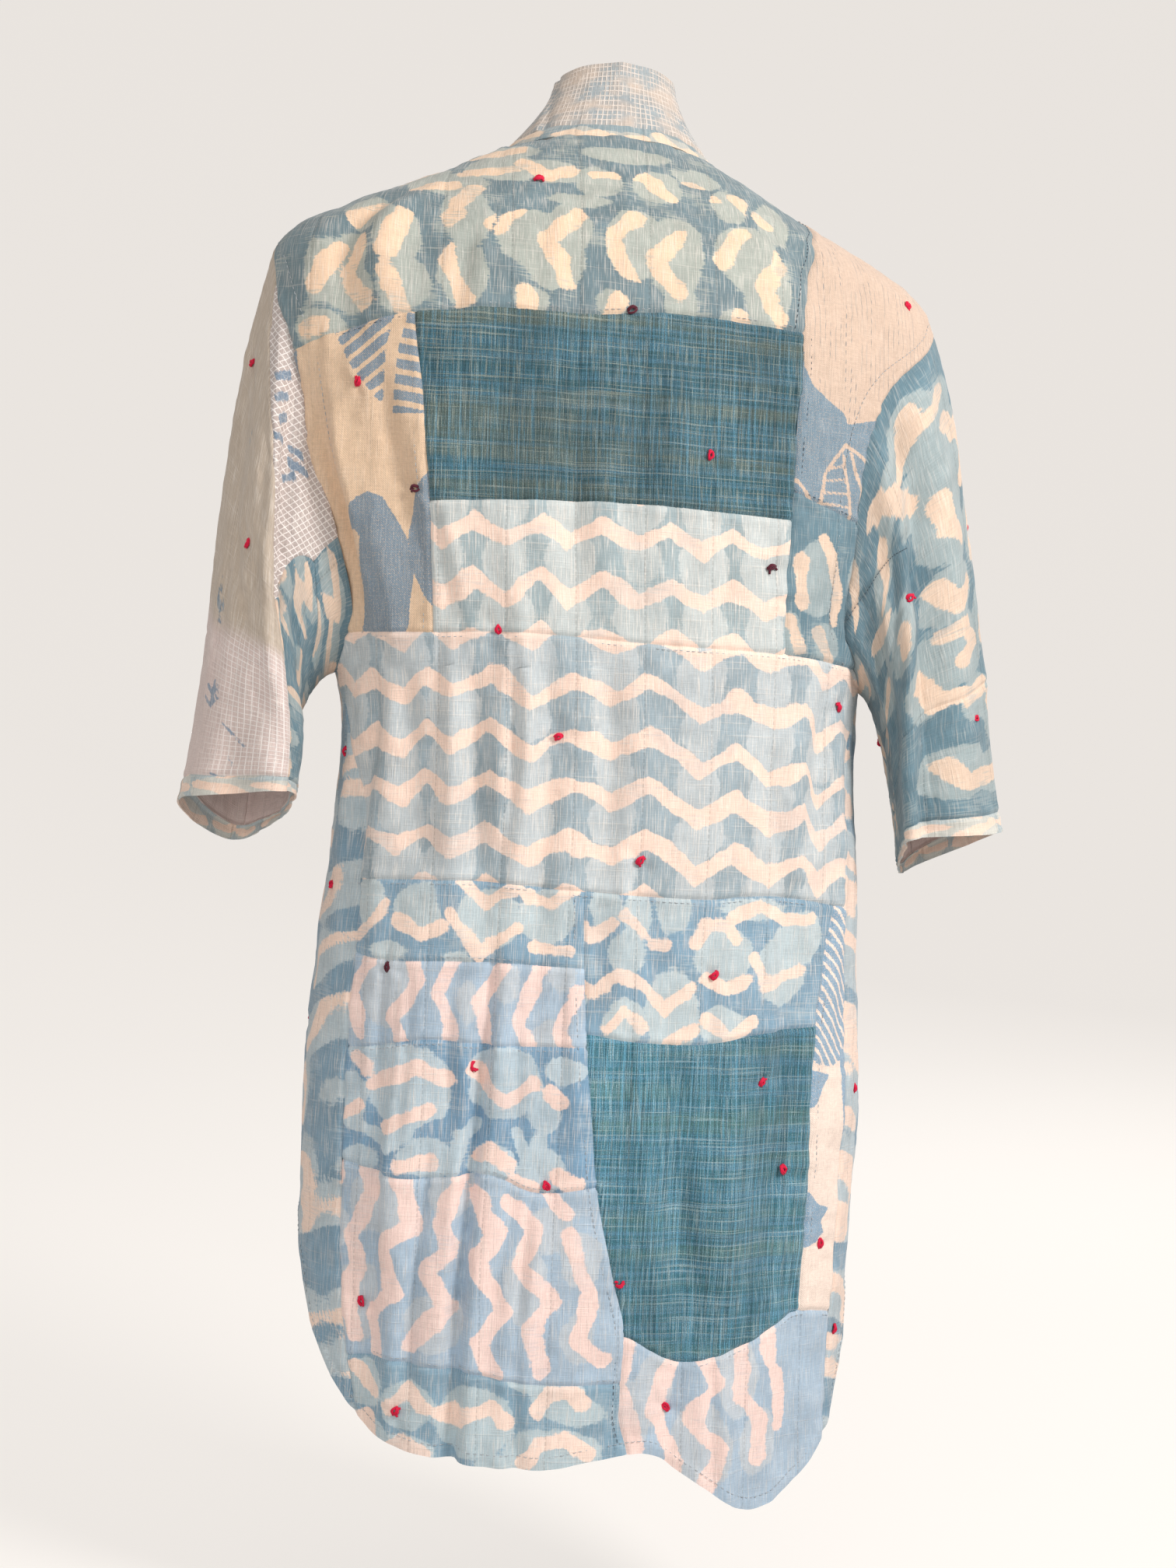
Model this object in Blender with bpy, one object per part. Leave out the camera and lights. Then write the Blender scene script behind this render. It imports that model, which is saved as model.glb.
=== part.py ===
"""Patchwork tunic coat, hollow, as it hangs when it is filled out.

Metres, +Z up. The coat's back faces +Y, its open front -Y, and the wearer's
left is +X. The origin is the middle of the neck opening at the height of the
nape seam.

The body is one surface: a level section at each drop below the nape, read
round the girth with u = 0 at the centre back, +-1 at the centre front and
positive on the wearer's left. Each sewn piece is cut out of that surface, the
sleeves or the collar as its own thin closed wall.
"""

import math

import bpy
import numpy as np

# ---------------------------------------------------------------- sizes
WALL = 0.0016  # doubled light cotton
GAP = 0.0003  # clearance at a sewn edge
CELL = 0.040  # mesh cell, girthwise and down
FRONT_EDGE = 0.989  # u where each front ends, edge to edge
ARM_CELLS = 24  # cells round a whole sleeve
SLEEVE_ROWS = 10  # cells down a sleeve
SLEEVE_GAP = 0.0018  # half a seam's clearance, as a share of the sleeve's length
TURN_GAP = 0.32  # and round it, in degrees
ARM_SEAM = 0.0034  # a sleeve's first edge stands this far off the armhole line
SLEEVE_HEM = 0.955  # share of the sleeve's length where its hem band starts
BAND_TOP = 0.17  # share of the collar's height that is neckband

# Level sections of the body, top to bottom. shift moves one to the wearer's
# left, and tilt raises it on that side, per metre.
SECTION_COLUMNS = ("drop", "half_width", "back", "front", "square", "shift", "tilt")
SECTIONS = (
    (-0.004, 0.076, 0.054, 0.040, 2.00, 0.000, 0.020),
    (0.008, 0.092, 0.071, 0.062, 2.00, 0.000, 0.030),
    (0.020, 0.119, 0.080, 0.070, 2.02, 0.000, 0.040),
    (0.036, 0.149, 0.090, 0.077, 2.05, 0.000, 0.045),
    (0.057, 0.192, 0.101, 0.085, 2.10, 0.000, 0.050),
    (0.079, 0.238, 0.110, 0.093, 2.15, 0.000, 0.050),
    (0.100, 0.276, 0.116, 0.100, 2.20, 0.000, 0.050),
    (0.130, 0.298, 0.122, 0.107, 2.25, 0.000, 0.045),
    (0.180, 0.302, 0.129, 0.115, 2.30, 0.000, 0.035),
    (0.260, 0.286, 0.134, 0.124, 2.35, 0.000, 0.020),
    (0.350, 0.262, 0.136, 0.130, 2.40, -0.002, 0.010),
    (0.440, 0.238, 0.133, 0.131, 2.40, -0.005, 0.000),
    (0.520, 0.229, 0.129, 0.128, 2.40, -0.008, 0.000),
    (0.600, 0.233, 0.127, 0.124, 2.38, -0.009, 0.000),
    (0.700, 0.241, 0.127, 0.122, 2.35, -0.007, 0.000),
    (0.850, 0.247, 0.129, 0.121, 2.30, -0.006, 0.000),
    (1.000, 0.245, 0.131, 0.121, 2.25, -0.003, 0.000),
    (1.220, 0.236, 0.130, 0.118, 2.20, -0.004, 0.000),
)

# Neckline: how far the neck seam lies below the nape, round one side.
NECK_COLUMNS = ("u", "drop")
NECKLINE = (
    (0.0, 0.000),
    (0.3, 0.003),
    (0.5, 0.010),
    (0.7, 0.020),
    (0.8, 0.036),
    (0.9, 0.058),
    (1.0, 0.080),
)

# Collar top edge, round one side: x, y and height over the nape seam.
COLLAR_COLUMNS = ("u", "x", "y", "rise")
COLLAR_TOP = (
    (0.00, 0.0000, 0.030, 0.074),
    (0.20, 0.0300, 0.022, 0.071),
    (0.40, 0.0510, 0.000, 0.064),
    (0.60, 0.0560, -0.028, 0.054),
    (0.80, 0.0400, -0.058, 0.042),
    (1.00, 0.0020, -0.072, 0.036),
)
COLLAR_LEAN = -0.004  # the top edge stands over to the wearer's right

# Largest soft folds that run down the body. u at the top and bottom, where
# they start and end, half width and depth (a trough is positive).
FOLD_COLUMNS = ("u_top", "u_bottom", "start", "end", "half_width", "depth")
FOLDS = (
    (0.160, 0.215, 0.560, 1.180, 0.017, 0.007),
    (0.075, 0.090, 0.300, 1.150, 0.022, 0.003),
    (-0.110, -0.060, 0.700, 1.180, 0.030, 0.005),
    (-0.330, -0.300, 0.800, 1.180, 0.026, 0.004),
    (0.360, 0.340, 0.650, 1.180, 0.024, 0.004),
    (0.640, 0.620, 0.450, 1.100, 0.026, 0.006),
    (-0.620, -0.640, 0.450, 1.100, 0.026, 0.006),
    (0.850, 0.830, 0.500, 1.120, 0.022, 0.005),
    (-0.830, -0.850, 0.500, 1.120, 0.022, 0.005),
)

# Hem: how far the cut edge lies below the nape, right to left round the girth.
HEM_COLUMNS = ("u", "drop")
HEM = (
    (-1.00, 1.010),
    (-0.80, 1.050),
    (-0.65, 1.010),
    (-0.54, 0.975),
    (-0.46, 1.035),
    (-0.40, 1.110),
    (-0.34, 1.155),
    (-0.25, 1.184),
    (-0.14, 1.150),
    (-0.08, 1.130),
    (0.00, 1.136),
    (0.08, 1.143),
    (0.22, 1.137),
    (0.32, 1.122),
    (0.40, 1.065),
    (0.48, 0.985),
    (0.54, 0.955),
    (0.65, 1.005),
    (0.80, 1.050),
    (1.00, 1.010),
)

# Armhole seam, round from the shoulder tip over the back. Where it lies on
# the body, and the direction and reach with which the sleeve leaves it.
ARMHOLE_COLUMNS = ("turn", "u", "drop", "out", "back", "down")
ARMHOLE_LEFT = (
    (0, 0.500, 0.118, 0.045, 0.000, 0.150),
    (30, 0.450, 0.153, 0.045, 0.020, 0.150),
    (60, 0.408, 0.214, 0.060, 0.040, 0.130),
    (90, 0.406, 0.289, 0.075, 0.040, 0.110),
    (120, 0.394, 0.365, 0.085, 0.025, 0.080),
    (150, 0.402, 0.432, 0.080, 0.005, 0.040),
    (180, 0.480, 0.472, 0.070, -0.005, 0.030),
    (210, 0.572, 0.430, 0.080, -0.015, 0.040),
    (240, 0.590, 0.365, 0.085, -0.030, 0.080),
    (270, 0.590, 0.290, 0.075, -0.040, 0.110),
    (300, 0.580, 0.215, 0.060, -0.040, 0.130),
    (330, 0.550, 0.150, 0.045, -0.020, 0.150),
)
ARMHOLE_RIGHT = (
    (0, 0.500, 0.118, 0.050, 0.000, 0.130),
    (30, 0.446, 0.150, 0.055, 0.020, 0.130),
    (60, 0.352, 0.203, 0.060, 0.030, 0.120),
    (90, 0.328, 0.280, 0.070, 0.030, 0.110),
    (120, 0.337, 0.362, 0.065, 0.015, 0.080),
    (150, 0.358, 0.430, 0.060, 0.005, 0.055),
    (180, 0.460, 0.472, 0.055, -0.005, 0.040),
    (210, 0.572, 0.430, 0.060, -0.015, 0.055),
    (240, 0.590, 0.365, 0.060, -0.030, 0.090),
    (270, 0.590, 0.290, 0.075, -0.040, 0.110),
    (300, 0.580, 0.215, 0.060, -0.040, 0.130),
    (330, 0.550, 0.150, 0.050, -0.020, 0.140),
)

# Cuff edge, round the same way: out from the centre, back, and drop.
CUFF_COLUMNS = ("turn", "out", "back", "drop")
CUFF_LEFT = (
    (0, 0.360, 0.010, 0.591),
    (45, 0.335, 0.062, 0.586),
    (90, 0.268, 0.090, 0.580),
    (135, 0.264, 0.038, 0.586),
    (180, 0.270, -0.016, 0.601),
    (225, 0.290, -0.060, 0.617),
    (270, 0.316, -0.082, 0.627),
    (315, 0.348, -0.048, 0.611),
)
CUFF_RIGHT = (
    (0, 0.378, 0.010, 0.596),
    (45, 0.352, 0.062, 0.598),
    (90, 0.282, 0.088, 0.603),
    (135, 0.284, 0.038, 0.616),
    (180, 0.294, -0.012, 0.632),
    (225, 0.308, -0.052, 0.638),
    (270, 0.334, -0.074, 0.628),
    (315, 0.366, -0.042, 0.610),
)


# ------------------------------------------------------------ curves
def column(rows, names, name):
    return np.array([row[names.index(name)] for row in rows], float)


def hermite(x0, x1, y0, y1, m0, m1, x):
    h = x1 - x0
    t = (x - x0) / h
    return (
        (2 * t**3 - 3 * t**2 + 1) * y0
        + (t**3 - 2 * t**2 + t) * h * m0
        + (-2 * t**3 + 3 * t**2) * y1
        + (t**3 - t**2) * h * m1
    )


def smooth(xs, ys, x):
    """Curve through the points whose slopes are limited, so it never overshoots."""
    x = np.clip(x, xs[0], xs[-1])
    slope = np.diff(ys) / np.diff(xs)
    m = np.empty_like(ys)
    m[0], m[-1] = slope[0], slope[-1]
    before, after = slope[:-1], slope[1:]
    same = before * after > 0
    total = np.where(same, before + after, 1.0)
    m[1:-1] = np.where(same, 2 * before * after / total, 0.0)
    i = np.clip(np.searchsorted(xs, x, side="right") - 1, 0, len(xs) - 2)
    return hermite(xs[i], xs[i + 1], ys[i], ys[i + 1], m[i], m[i + 1], x)


def around(turns, ys, turn):
    """Closed curve through the points of one whole turn."""
    xs = np.concatenate([turns - 360, turns, turns + 360])
    ys = np.concatenate([ys, ys, ys])
    m = np.gradient(ys, xs)
    turn = np.mod(turn, 360.0)
    i = np.clip(np.searchsorted(xs, turn, side="right") - 1, 0, len(xs) - 2)
    return hermite(xs[i], xs[i + 1], ys[i], ys[i + 1], m[i], m[i + 1], turn)


# -------------------------------------------------------------- body
GRID_DROPS = np.linspace(SECTIONS[0][0], SECTIONS[-1][0], 401)
GRID_U = np.linspace(0.0, 1.0, 161)


def power(value, exponent):
    return np.sign(value) * np.abs(value) ** exponent


def section_grid():
    """x, y of the sections at GRID_DROPS and GRID_U, and each half girth."""
    size = {
        name: smooth(
            column(SECTIONS, SECTION_COLUMNS, "drop"),
            column(SECTIONS, SECTION_COLUMNS, name),
            GRID_DROPS,
        )[:, None]
        for name in SECTION_COLUMNS[1:5]
    }
    phi = np.linspace(0.0, math.pi, 721)[None, :]
    depth = np.where(np.cos(phi) > 0, size["back"], size["front"])
    x = size["half_width"] * power(np.sin(phi), 2 / size["square"])
    y = depth * power(np.cos(phi), 2 / size["square"])
    step = np.hypot(np.diff(x, axis=1), np.diff(y, axis=1))
    length = np.concatenate([np.zeros((len(x), 1)), np.cumsum(step, axis=1)], axis=1)
    girth = length[:, -1]
    out_x = np.empty((len(x), len(GRID_U)))
    out_y = np.empty_like(out_x)
    for i in range(len(x)):
        out_x[i] = np.interp(GRID_U * girth[i], length[i], x[i])
        out_y[i] = np.interp(GRID_U * girth[i], length[i], y[i])
    return out_x, out_y, girth


GRID_X, GRID_Y, HALF_GIRTH = section_grid()
GRID_SHIFT, GRID_TILT = (
    smooth(
        column(SECTIONS, SECTION_COLUMNS, "drop"),
        column(SECTIONS, SECTION_COLUMNS, name),
        GRID_DROPS,
    )
    for name in ("shift", "tilt")
)


def half_girth(drop):
    return np.interp(drop, GRID_DROPS, HALF_GIRTH)


def plain_body(u, drop):
    u, drop = np.broadcast_arrays(np.asarray(u, float), np.asarray(drop, float))
    a = np.clip(np.abs(u), 0, 1) * (len(GRID_U) - 1)
    b = (drop - GRID_DROPS[0]) / (GRID_DROPS[1] - GRID_DROPS[0])
    b = np.clip(b, 0, len(GRID_DROPS) - 1)
    j = np.minimum(a.astype(int), len(GRID_U) - 2)
    i = np.minimum(b.astype(int), len(GRID_DROPS) - 2)
    fa, fb = a - j, b - i

    def read(grid):
        top = grid[i, j] * (1 - fa) + grid[i, j + 1] * fa
        low = grid[i + 1, j] * (1 - fa) + grid[i + 1, j + 1] * fa
        return top * (1 - fb) + low * fb

    x = np.where(u < 0, -1, 1) * read(GRID_X)
    rise = np.interp(drop, GRID_DROPS, GRID_TILT) * x
    shift = np.interp(drop, GRID_DROPS, GRID_SHIFT)
    return np.stack([x + shift, read(GRID_Y), rise - drop], -1)


def fold_push(u, drop):
    """How far the soft folds press the cloth inwards."""
    total = np.zeros(np.broadcast(u, drop).shape)
    for u_top, u_low, start, end, half_width, depth in FOLDS:
        along = np.clip((drop - start) / (end - start), 0, 1)
        centre = u_top + (u_low - u_top) * along
        grown = along * along * (3 - 2 * along)
        across = (u - centre) * half_girth(drop) / half_width
        total = total + depth * np.minimum(1, 2.2 * grown) * np.exp(-across * across)
    return total


def body(u, drop):
    here = plain_body(u, drop)
    run = (plain_body(u + 0.002, drop) - plain_body(u - 0.002, drop))[..., :2]
    run = run / np.linalg.norm(run, axis=-1, keepdims=True)
    push = fold_push(u, drop)
    here[..., 0] += run[..., 1] * push
    here[..., 1] -= run[..., 0] * push
    return here


def neck_drop(u):
    return smooth(
        column(NECKLINE, NECK_COLUMNS, "u"),
        column(NECKLINE, NECK_COLUMNS, "drop"),
        np.abs(u),
    )


def hem_drop(u):
    return smooth(column(HEM, HEM_COLUMNS, "u"), column(HEM, HEM_COLUMNS, "drop"), u)


# ------------------------------------------------------------ collar
def collar(u, rise):
    """u round the neck as on the body, rise 0 at the seam and 1 at the top."""
    u, rise = np.broadcast_arrays(np.asarray(u, float), np.asarray(rise, float))
    low = body(u, neck_drop(u))
    side = np.where(u < 0, -1, 1)
    us = column(COLLAR_TOP, COLLAR_COLUMNS, "u")
    top = np.stack(
        [
            side * smooth(us, column(COLLAR_TOP, COLLAR_COLUMNS, "x"), np.abs(u))
            + COLLAR_LEAN,
            smooth(us, column(COLLAR_TOP, COLLAR_COLUMNS, "y"), np.abs(u)),
            smooth(us, column(COLLAR_TOP, COLLAR_COLUMNS, "rise"), np.abs(u)),
        ],
        -1,
    )
    share = rise[..., None]
    lean = np.concatenate([1 - np.maximum(1 - share, 0) ** 1.35] * 2 + [share], -1)
    return low + (top - low) * lean


# ----------------------------------------------------------- sleeves
def armhole(table, side, turn):
    turns = column(table, ARMHOLE_COLUMNS, "turn")
    read = {
        name: around(turns, column(table, ARMHOLE_COLUMNS, name), turn)
        for name in ARMHOLE_COLUMNS[1:]
    }
    start = body(side * read["u"], read["drop"])
    lead = np.stack([side * read["out"], read["back"], -read["down"]], -1)
    return start, lead


def sleeve(table, cuffs, side, turn, run):
    """turn in degrees from the shoulder tip over the back, run 0 at the armhole
    and 1 at the cuff."""
    turn, run = np.broadcast_arrays(np.asarray(turn, float), np.asarray(run, float))
    start, lead = armhole(table, side, turn)
    turns = column(cuffs, CUFF_COLUMNS, "turn")
    end = np.stack(
        [
            side * around(turns, column(cuffs, CUFF_COLUMNS, "out"), turn),
            around(turns, column(cuffs, CUFF_COLUMNS, "back"), turn),
            -around(turns, column(cuffs, CUFF_COLUMNS, "drop"), turn),
        ],
        -1,
    )
    reach = np.linalg.norm(end - start, axis=-1, keepdims=True)
    settle = np.array([side * 0.17, 0.0, -0.98]) * reach * 0.9
    return hermite(0.0, 1.0, start, end, 2.2 * lead, settle, run[..., None])


# ------------------------------------------------------------- seams
# Seams that run down the body, straight between their points.
DOWN_COLUMNS = ("drop", "u")
DOWN = {
    "yoke_right": ((0.036, -0.500), (0.040, -0.482), (0.045, -0.461), (0.050, -0.440), (0.064, -0.370), (0.080, -0.305), (0.118, -0.242), (0.166, -0.222)),
    "teal_right": ((0.166, -0.222), (0.307, -0.225), (0.332, -0.226), (0.448, -0.242)),
    "teal_left": ((0.180, 0.250), (0.334, 0.245), (0.442, 0.262)),
    "middle": ((0.656, 0.044), (0.904, 0.006), (1.031, -0.042), (1.250, -0.052)),
    "strip": ((0.666, -0.348), (0.771, -0.316), (1.018, -0.320)),
    "side_left": ((0.472, 0.480), (0.520, 0.432), (0.580, 0.404), (0.740, 0.376), (0.900, 0.378), (1.250, 0.320)),
    "side_right": ((0.472, -0.460), (0.520, -0.402), (0.590, -0.378), (0.660, -0.374), (0.780, -0.390), (1.250, -0.376)),
    "front_edge_left": ((-0.1, FRONT_EDGE), (1.3, FRONT_EDGE)),
    "front_edge_right": ((-0.1, -FRONT_EDGE), (1.3, -FRONT_EDGE)),
}
# Seams that run across it, from the wearer's right to left.
ACROSS_COLUMNS = ("u", "drop")
ACROSS = {
    "yoke": ((-0.222, 0.166), (0.040, 0.170), (0.250, 0.180), (0.409, 0.212)),
    "leaf_right_bottom": ((-0.420, 0.345), (-0.225, 0.307)),
    "teal_bottom": ((-0.226, 0.332), (0.245, 0.334)),
    "chest": ((-0.420, 0.457), (-0.242, 0.448), (0.262, 0.442), (0.480, 0.442)),
    "waist": ((-0.400, 0.668), (0.044, 0.656), (0.420, 0.652)),
    "band_left_bottom": ((0.000, 0.722), (0.420, 0.714)),
    "band_right_bottom": ((-0.316, 0.771), (0.060, 0.779)),
    "zigzag_bottom": ((0.000, 0.785), (0.420, 0.795)),
    "print_bottom": ((0.006, 0.904), (0.420, 0.894)),
    "low_bottom": ((-0.080, 1.070), (0.420, 1.062)),
    "teal_low_bottom": ((-0.420, 1.028), (-0.320, 1.018), (-0.140, 1.052), (-0.042, 1.031)),
}


def arm_turns():
    return np.arange(ARM_CELLS) * 360.0 / ARM_CELLS


def shoulder_and_side(side, table, seam, first, last):
    """(drop, u) down one side: shoulder ridge, armhole and side seam. The back
    runs over the turns 0 to 180, the front over 360 to 180."""
    turns = column(table, ARMHOLE_COLUMNS, "turn")
    step = 360.0 / ARM_CELLS
    run = np.arange(first, last + np.sign(last - first), step * np.sign(last - first))
    drop = around(turns, column(table, ARMHOLE_COLUMNS, "drop"), run)
    u = side * around(turns, column(table, ARMHOLE_COLUMNS, "u"), run)
    rows = [(-0.1, side * 0.5)] + list(zip(drop, u)) + list(DOWN[seam][1:])
    return np.array(rows)


def lines():
    down = {name: np.array(rows, float) for name, rows in DOWN.items()}
    down["back_left"] = shoulder_and_side(1, ARMHOLE_LEFT, "side_left", 0, 180)
    down["front_left"] = shoulder_and_side(1, ARMHOLE_LEFT, "side_left", 360, 180)
    down["back_right"] = shoulder_and_side(-1, ARMHOLE_RIGHT, "side_right", 0, 180)
    down["front_right"] = shoulder_and_side(-1, ARMHOLE_RIGHT, "side_right", 360, 180)
    across = {name: np.array(rows, float) for name, rows in ACROSS.items()}
    neck_u = np.concatenate([
        np.linspace(-FRONT_EDGE, -0.5, 9)[:-1], np.linspace(-0.5, 0.5, 17), np.linspace(0.5, FRONT_EDGE, 9)[1:]
    ])
    across["neck"] = np.stack([neck_u, neck_drop(neck_u)], -1)
    hem_u = np.linspace(-1, 1, 81)
    across["hem"] = np.stack([hem_u, hem_drop(hem_u)], -1)
    return down, across


DOWN_LINES, ACROSS_LINES = lines()

# Length over the cloth for each drop, so that rows stay even over the shoulder.
WAY_DROPS = np.linspace(-0.02, 1.30, 661)
WAY = np.concatenate([[0.0], np.cumsum(np.hypot(
    np.diff(WAY_DROPS),
    0.75 * np.diff(smooth(
        column(SECTIONS, SECTION_COLUMNS, "drop"),
        column(SECTIONS, SECTION_COLUMNS, "half_width"),
        WAY_DROPS,
    )),
))])


def way(drop):
    return np.interp(drop, WAY_DROPS, WAY)


def at_way(length):
    return np.interp(length, WAY, WAY_DROPS)


def split(rows, measure, cell):
    """The line with points added, so that both pieces beside it share them."""
    out = [rows[0]]
    for near, far in zip(rows[:-1], rows[1:]):
        parts = max(1, math.ceil(abs(measure(far) - measure(near)) / cell - 0.05))
        out += [near + (far - near) * k / parts for k in range(1, parts + 1)]
    return np.array(out)


for line_name in ("yoke_right", "teal_right", "teal_left", "middle", "strip", "back_left", "front_left", "back_right", "front_right"):
    fine = 0.45 if line_name == "yoke_right" else 1.0
    DOWN_LINES[line_name] = split(DOWN_LINES[line_name], lambda row: way(row[0]), fine * CELL)
for line_name in ACROSS:
    ACROSS_LINES[line_name] = split(ACROSS_LINES[line_name], lambda row: row[0], 1.7 * CELL)
# The yoke's right edge follows the shoulder and then its seam, and the leaf
# print meets the same seam from the other side.
DOWN_LINES["yoke_run"] = np.concatenate([[(-0.1, -0.5)], DOWN_LINES["yoke_right"]])
ACROSS_LINES["leaf_right_top"] = DOWN_LINES["yoke_right"][DOWN_LINES["yoke_right"][:, 0] < 0.0501][:, ::-1]
DOWN_LINES["leaf_edge"] = np.concatenate([
    DOWN_LINES["yoke_right"][DOWN_LINES["yoke_right"][:, 0] > 0.0499], DOWN_LINES["teal_right"][1:]
])


def line_u(name, drop):
    rows = DOWN_LINES[name]
    return np.interp(drop, rows[:, 0], rows[:, 1])


def line_drop(name, u):
    rows = ACROSS_LINES[name]
    return np.interp(u, rows[:, 0], rows[:, 1])


def stations(shares, cells):
    """Shares from 0 to 1 that take in the given ones."""
    inner = [share for share in sorted(shares) if 0.18 / cells < share < 1 - 0.18 / cells]
    return np.array([0.0] + inner + [1.0])


def pair(one, other, least):
    """Adds to the shorter list until the two are as long, and at least least."""
    one, other = list(one), list(other)
    while len(one) != len(other) or len(one) < least:
        short = one if len(one) <= len(other) else other
        wide = int(np.argmax(np.diff(short)))
        short.insert(wide + 1, (short[wide] + short[wide + 1]) / 2)
    return np.array(one), np.array(other)


def corner(line, curve):
    """u and drop where a seam down meets a seam across."""
    drop = 0.5
    for _ in range(60):
        drop = 0.5 * drop + 0.5 * float(line_drop(curve, line_u(line, drop)))
    return float(line_u(line, drop)), drop


def piece_grid(right, left, top, bottom):
    """u and drop of a piece's points: rows down it, columns from right to left."""
    ends = [corner(line, curve) for curve in (top, bottom) for line in (right, left)]
    (tr_u, tr_d), (tl_u, tl_d), (br_u, br_d), (bl_u, bl_d) = ends
    wide = max((tl_u - tr_u) * half_girth((tl_d + tr_d) / 2), (bl_u - br_u) * half_girth((bl_d + br_d) / 2))
    long = max(way(br_d) - way(tr_d), way(bl_d) - way(tl_d))
    sides = []
    for line, high, low in ((right, tr_d, br_d), (left, tl_d, bl_d)):
        drops = [d for d in DOWN_LINES[line][:, 0] if high < d < low]
        shares = [(way(d) - way(high)) / (way(low) - way(high)) for d in drops]
        sides.append(stations(shares, max(2, long / CELL)))
    edges = []
    for curve, near, far in ((top, tr_u, tl_u), (bottom, br_u, bl_u)):
        found = [u for u in ACROSS_LINES[curve][:, 0] if near < u < far and curve != "hem"]
        shares = [(u - near) / (far - near) for u in found]
        edges.append(stations(shares, max(2, wide / CELL)))
    row_right, row_left = pair(*sides, 3)
    col_top, col_low = pair(*edges, 3)

    def across(curve, near, far, shares):
        u = near + (far - near) * shares
        return np.stack([u, way(line_drop(curve, u))], -1)

    def down(line, high, low, shares):
        length = way(high) + (way(low) - way(high)) * shares
        return np.stack([line_u(line, at_way(length)), length], -1)

    upper = across(top, tr_u, tl_u, col_top)[None]
    lower = across(bottom, br_u, bl_u, col_low)[None]
    first = down(right, tr_d, br_d, row_right)[:, None]
    last = down(left, tl_d, bl_d, row_left)[:, None]
    i, j = np.linspace(0, 1, len(row_right)), np.linspace(0, 1, len(col_top))
    s = col_top + (col_low - col_top) * i[:, None]
    r = row_right[:, None] + (row_left - row_right)[:, None] * j
    s, r = s[..., None], r[..., None]
    points = (1 - r) * upper + r * lower + (1 - s) * first + s * last
    points -= (1 - r) * ((1 - s) * upper[:, :1] + s * upper[:, -1:])
    points -= r * ((1 - s) * lower[:, :1] + s * lower[:, -1:])
    u, length = points[..., 0], points[..., 1]
    s, r = s[..., 0], r[..., 0]
    inset = 0.5 * GAP
    slant = 2.0 if right == "yoke_run" or left == "leaf_edge" else 1.2
    u = u + slant * inset * (1 - 2 * s) / half_girth(at_way(length))
    length = length + inset * (1 - 2 * r)
    if top == "neck":
        length = length + 0.0008 * (1 - r) ** 24
    return u, at_way(length)


# ------------------------------------------------------------- walls
def normals(surface, a, b, outward):
    e = 0.0015
    da = surface(a + e, b) - surface(a - e, b)
    db = surface(a, b + e) - surface(a, b - e)
    n = np.cross(da, db)
    n = n / np.linalg.norm(n, axis=-1, keepdims=True)
    return n * outward


def closed_wall(name, outer, inner, ring):
    """One closed wall between two grids of points. With ring the last column
    joins the first."""
    rows, cols = outer.shape[:2]
    count = rows * cols
    points = np.concatenate([outer.reshape(-1, 3), inner.reshape(-1, 3)])

    def at(i, j, layer):
        return layer * count + i * cols + j % cols

    faces = []
    for i in range(rows - 1):
        for j in range(cols if ring else cols - 1):
            a, b, c, d = at(i, j, 0), at(i + 1, j, 0), at(i + 1, j + 1, 0), at(i, j + 1, 0)
            faces += [(a, b, c), (a, c, d)]
            faces += [(a + count, c + count, b + count), (a + count, d + count, c + count)]
    for i, turn in ((0, 1), (rows - 1, -1)):
        for j in range(cols if ring else cols - 1):
            quad = [at(i, j, 0), at(i, j + 1, 0), at(i, j + 1, 1), at(i, j, 1)][::turn]
            faces += [(quad[0], quad[1], quad[2]), (quad[0], quad[2], quad[3])]
    if not ring:
        for j, turn in ((0, -1), (cols - 1, 1)):
            for i in range(rows - 1):
                quad = [at(i, j, 0), at(i + 1, j, 0), at(i + 1, j, 1), at(i, j, 1)][::turn]
                faces += [(quad[0], quad[1], quad[2]), (quad[0], quad[2], quad[3])]
    corners = points[np.array(faces)]
    if np.linalg.det(corners - points.mean(axis=0)).sum() < 0:
        faces = [face[::-1] for face in faces]
    mesh = bpy.data.meshes.new(name)
    mesh.from_pydata(points.tolist(), [], faces)
    mesh.shade_smooth()
    mesh.set_sharp_from_angle(angle=math.radians(50))
    obj = bpy.data.objects.new(name, mesh)
    bpy.context.scene.collection.objects.link(obj)
    return obj


def cloth(name, colour, roughness):
    material = bpy.data.materials.new(name)
    material.use_nodes = True
    shader = material.node_tree.nodes["Principled BSDF"]
    shader.inputs["Base Color"].default_value = (*colour, 1.0)
    shader.inputs["Roughness"].default_value = roughness
    shader.inputs["Metallic"].default_value = 0.0
    return material


def sewn(name, surface, a, b, outward, colour, coat, ring=False):
    n = normals(surface, a, b, outward)
    middle = surface(a, b)
    obj = closed_wall(name, middle + n * WALL / 2, middle - n * WALL / 2, ring)
    obj.data.materials.append(cloth(name, COLOURS[colour], 0.86))
    obj.parent = coat
    return obj


# ------------------------------------------------------------ pieces
COLOURS = {  # linear colours of the cloths
    "print": (0.42, 0.53, 0.58),
    "chevron": (0.52, 0.56, 0.58),
    "zigzag": (0.50, 0.60, 0.70),
    "teal": (0.031, 0.115, 0.155),
    "twill": (0.62, 0.52, 0.42),
    "leaf": (0.45, 0.50, 0.55),
    "slub": (0.55, 0.48, 0.43),
    "grid": (0.62, 0.55, 0.55),
    "collar": (0.48, 0.47, 0.46),
}

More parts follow.
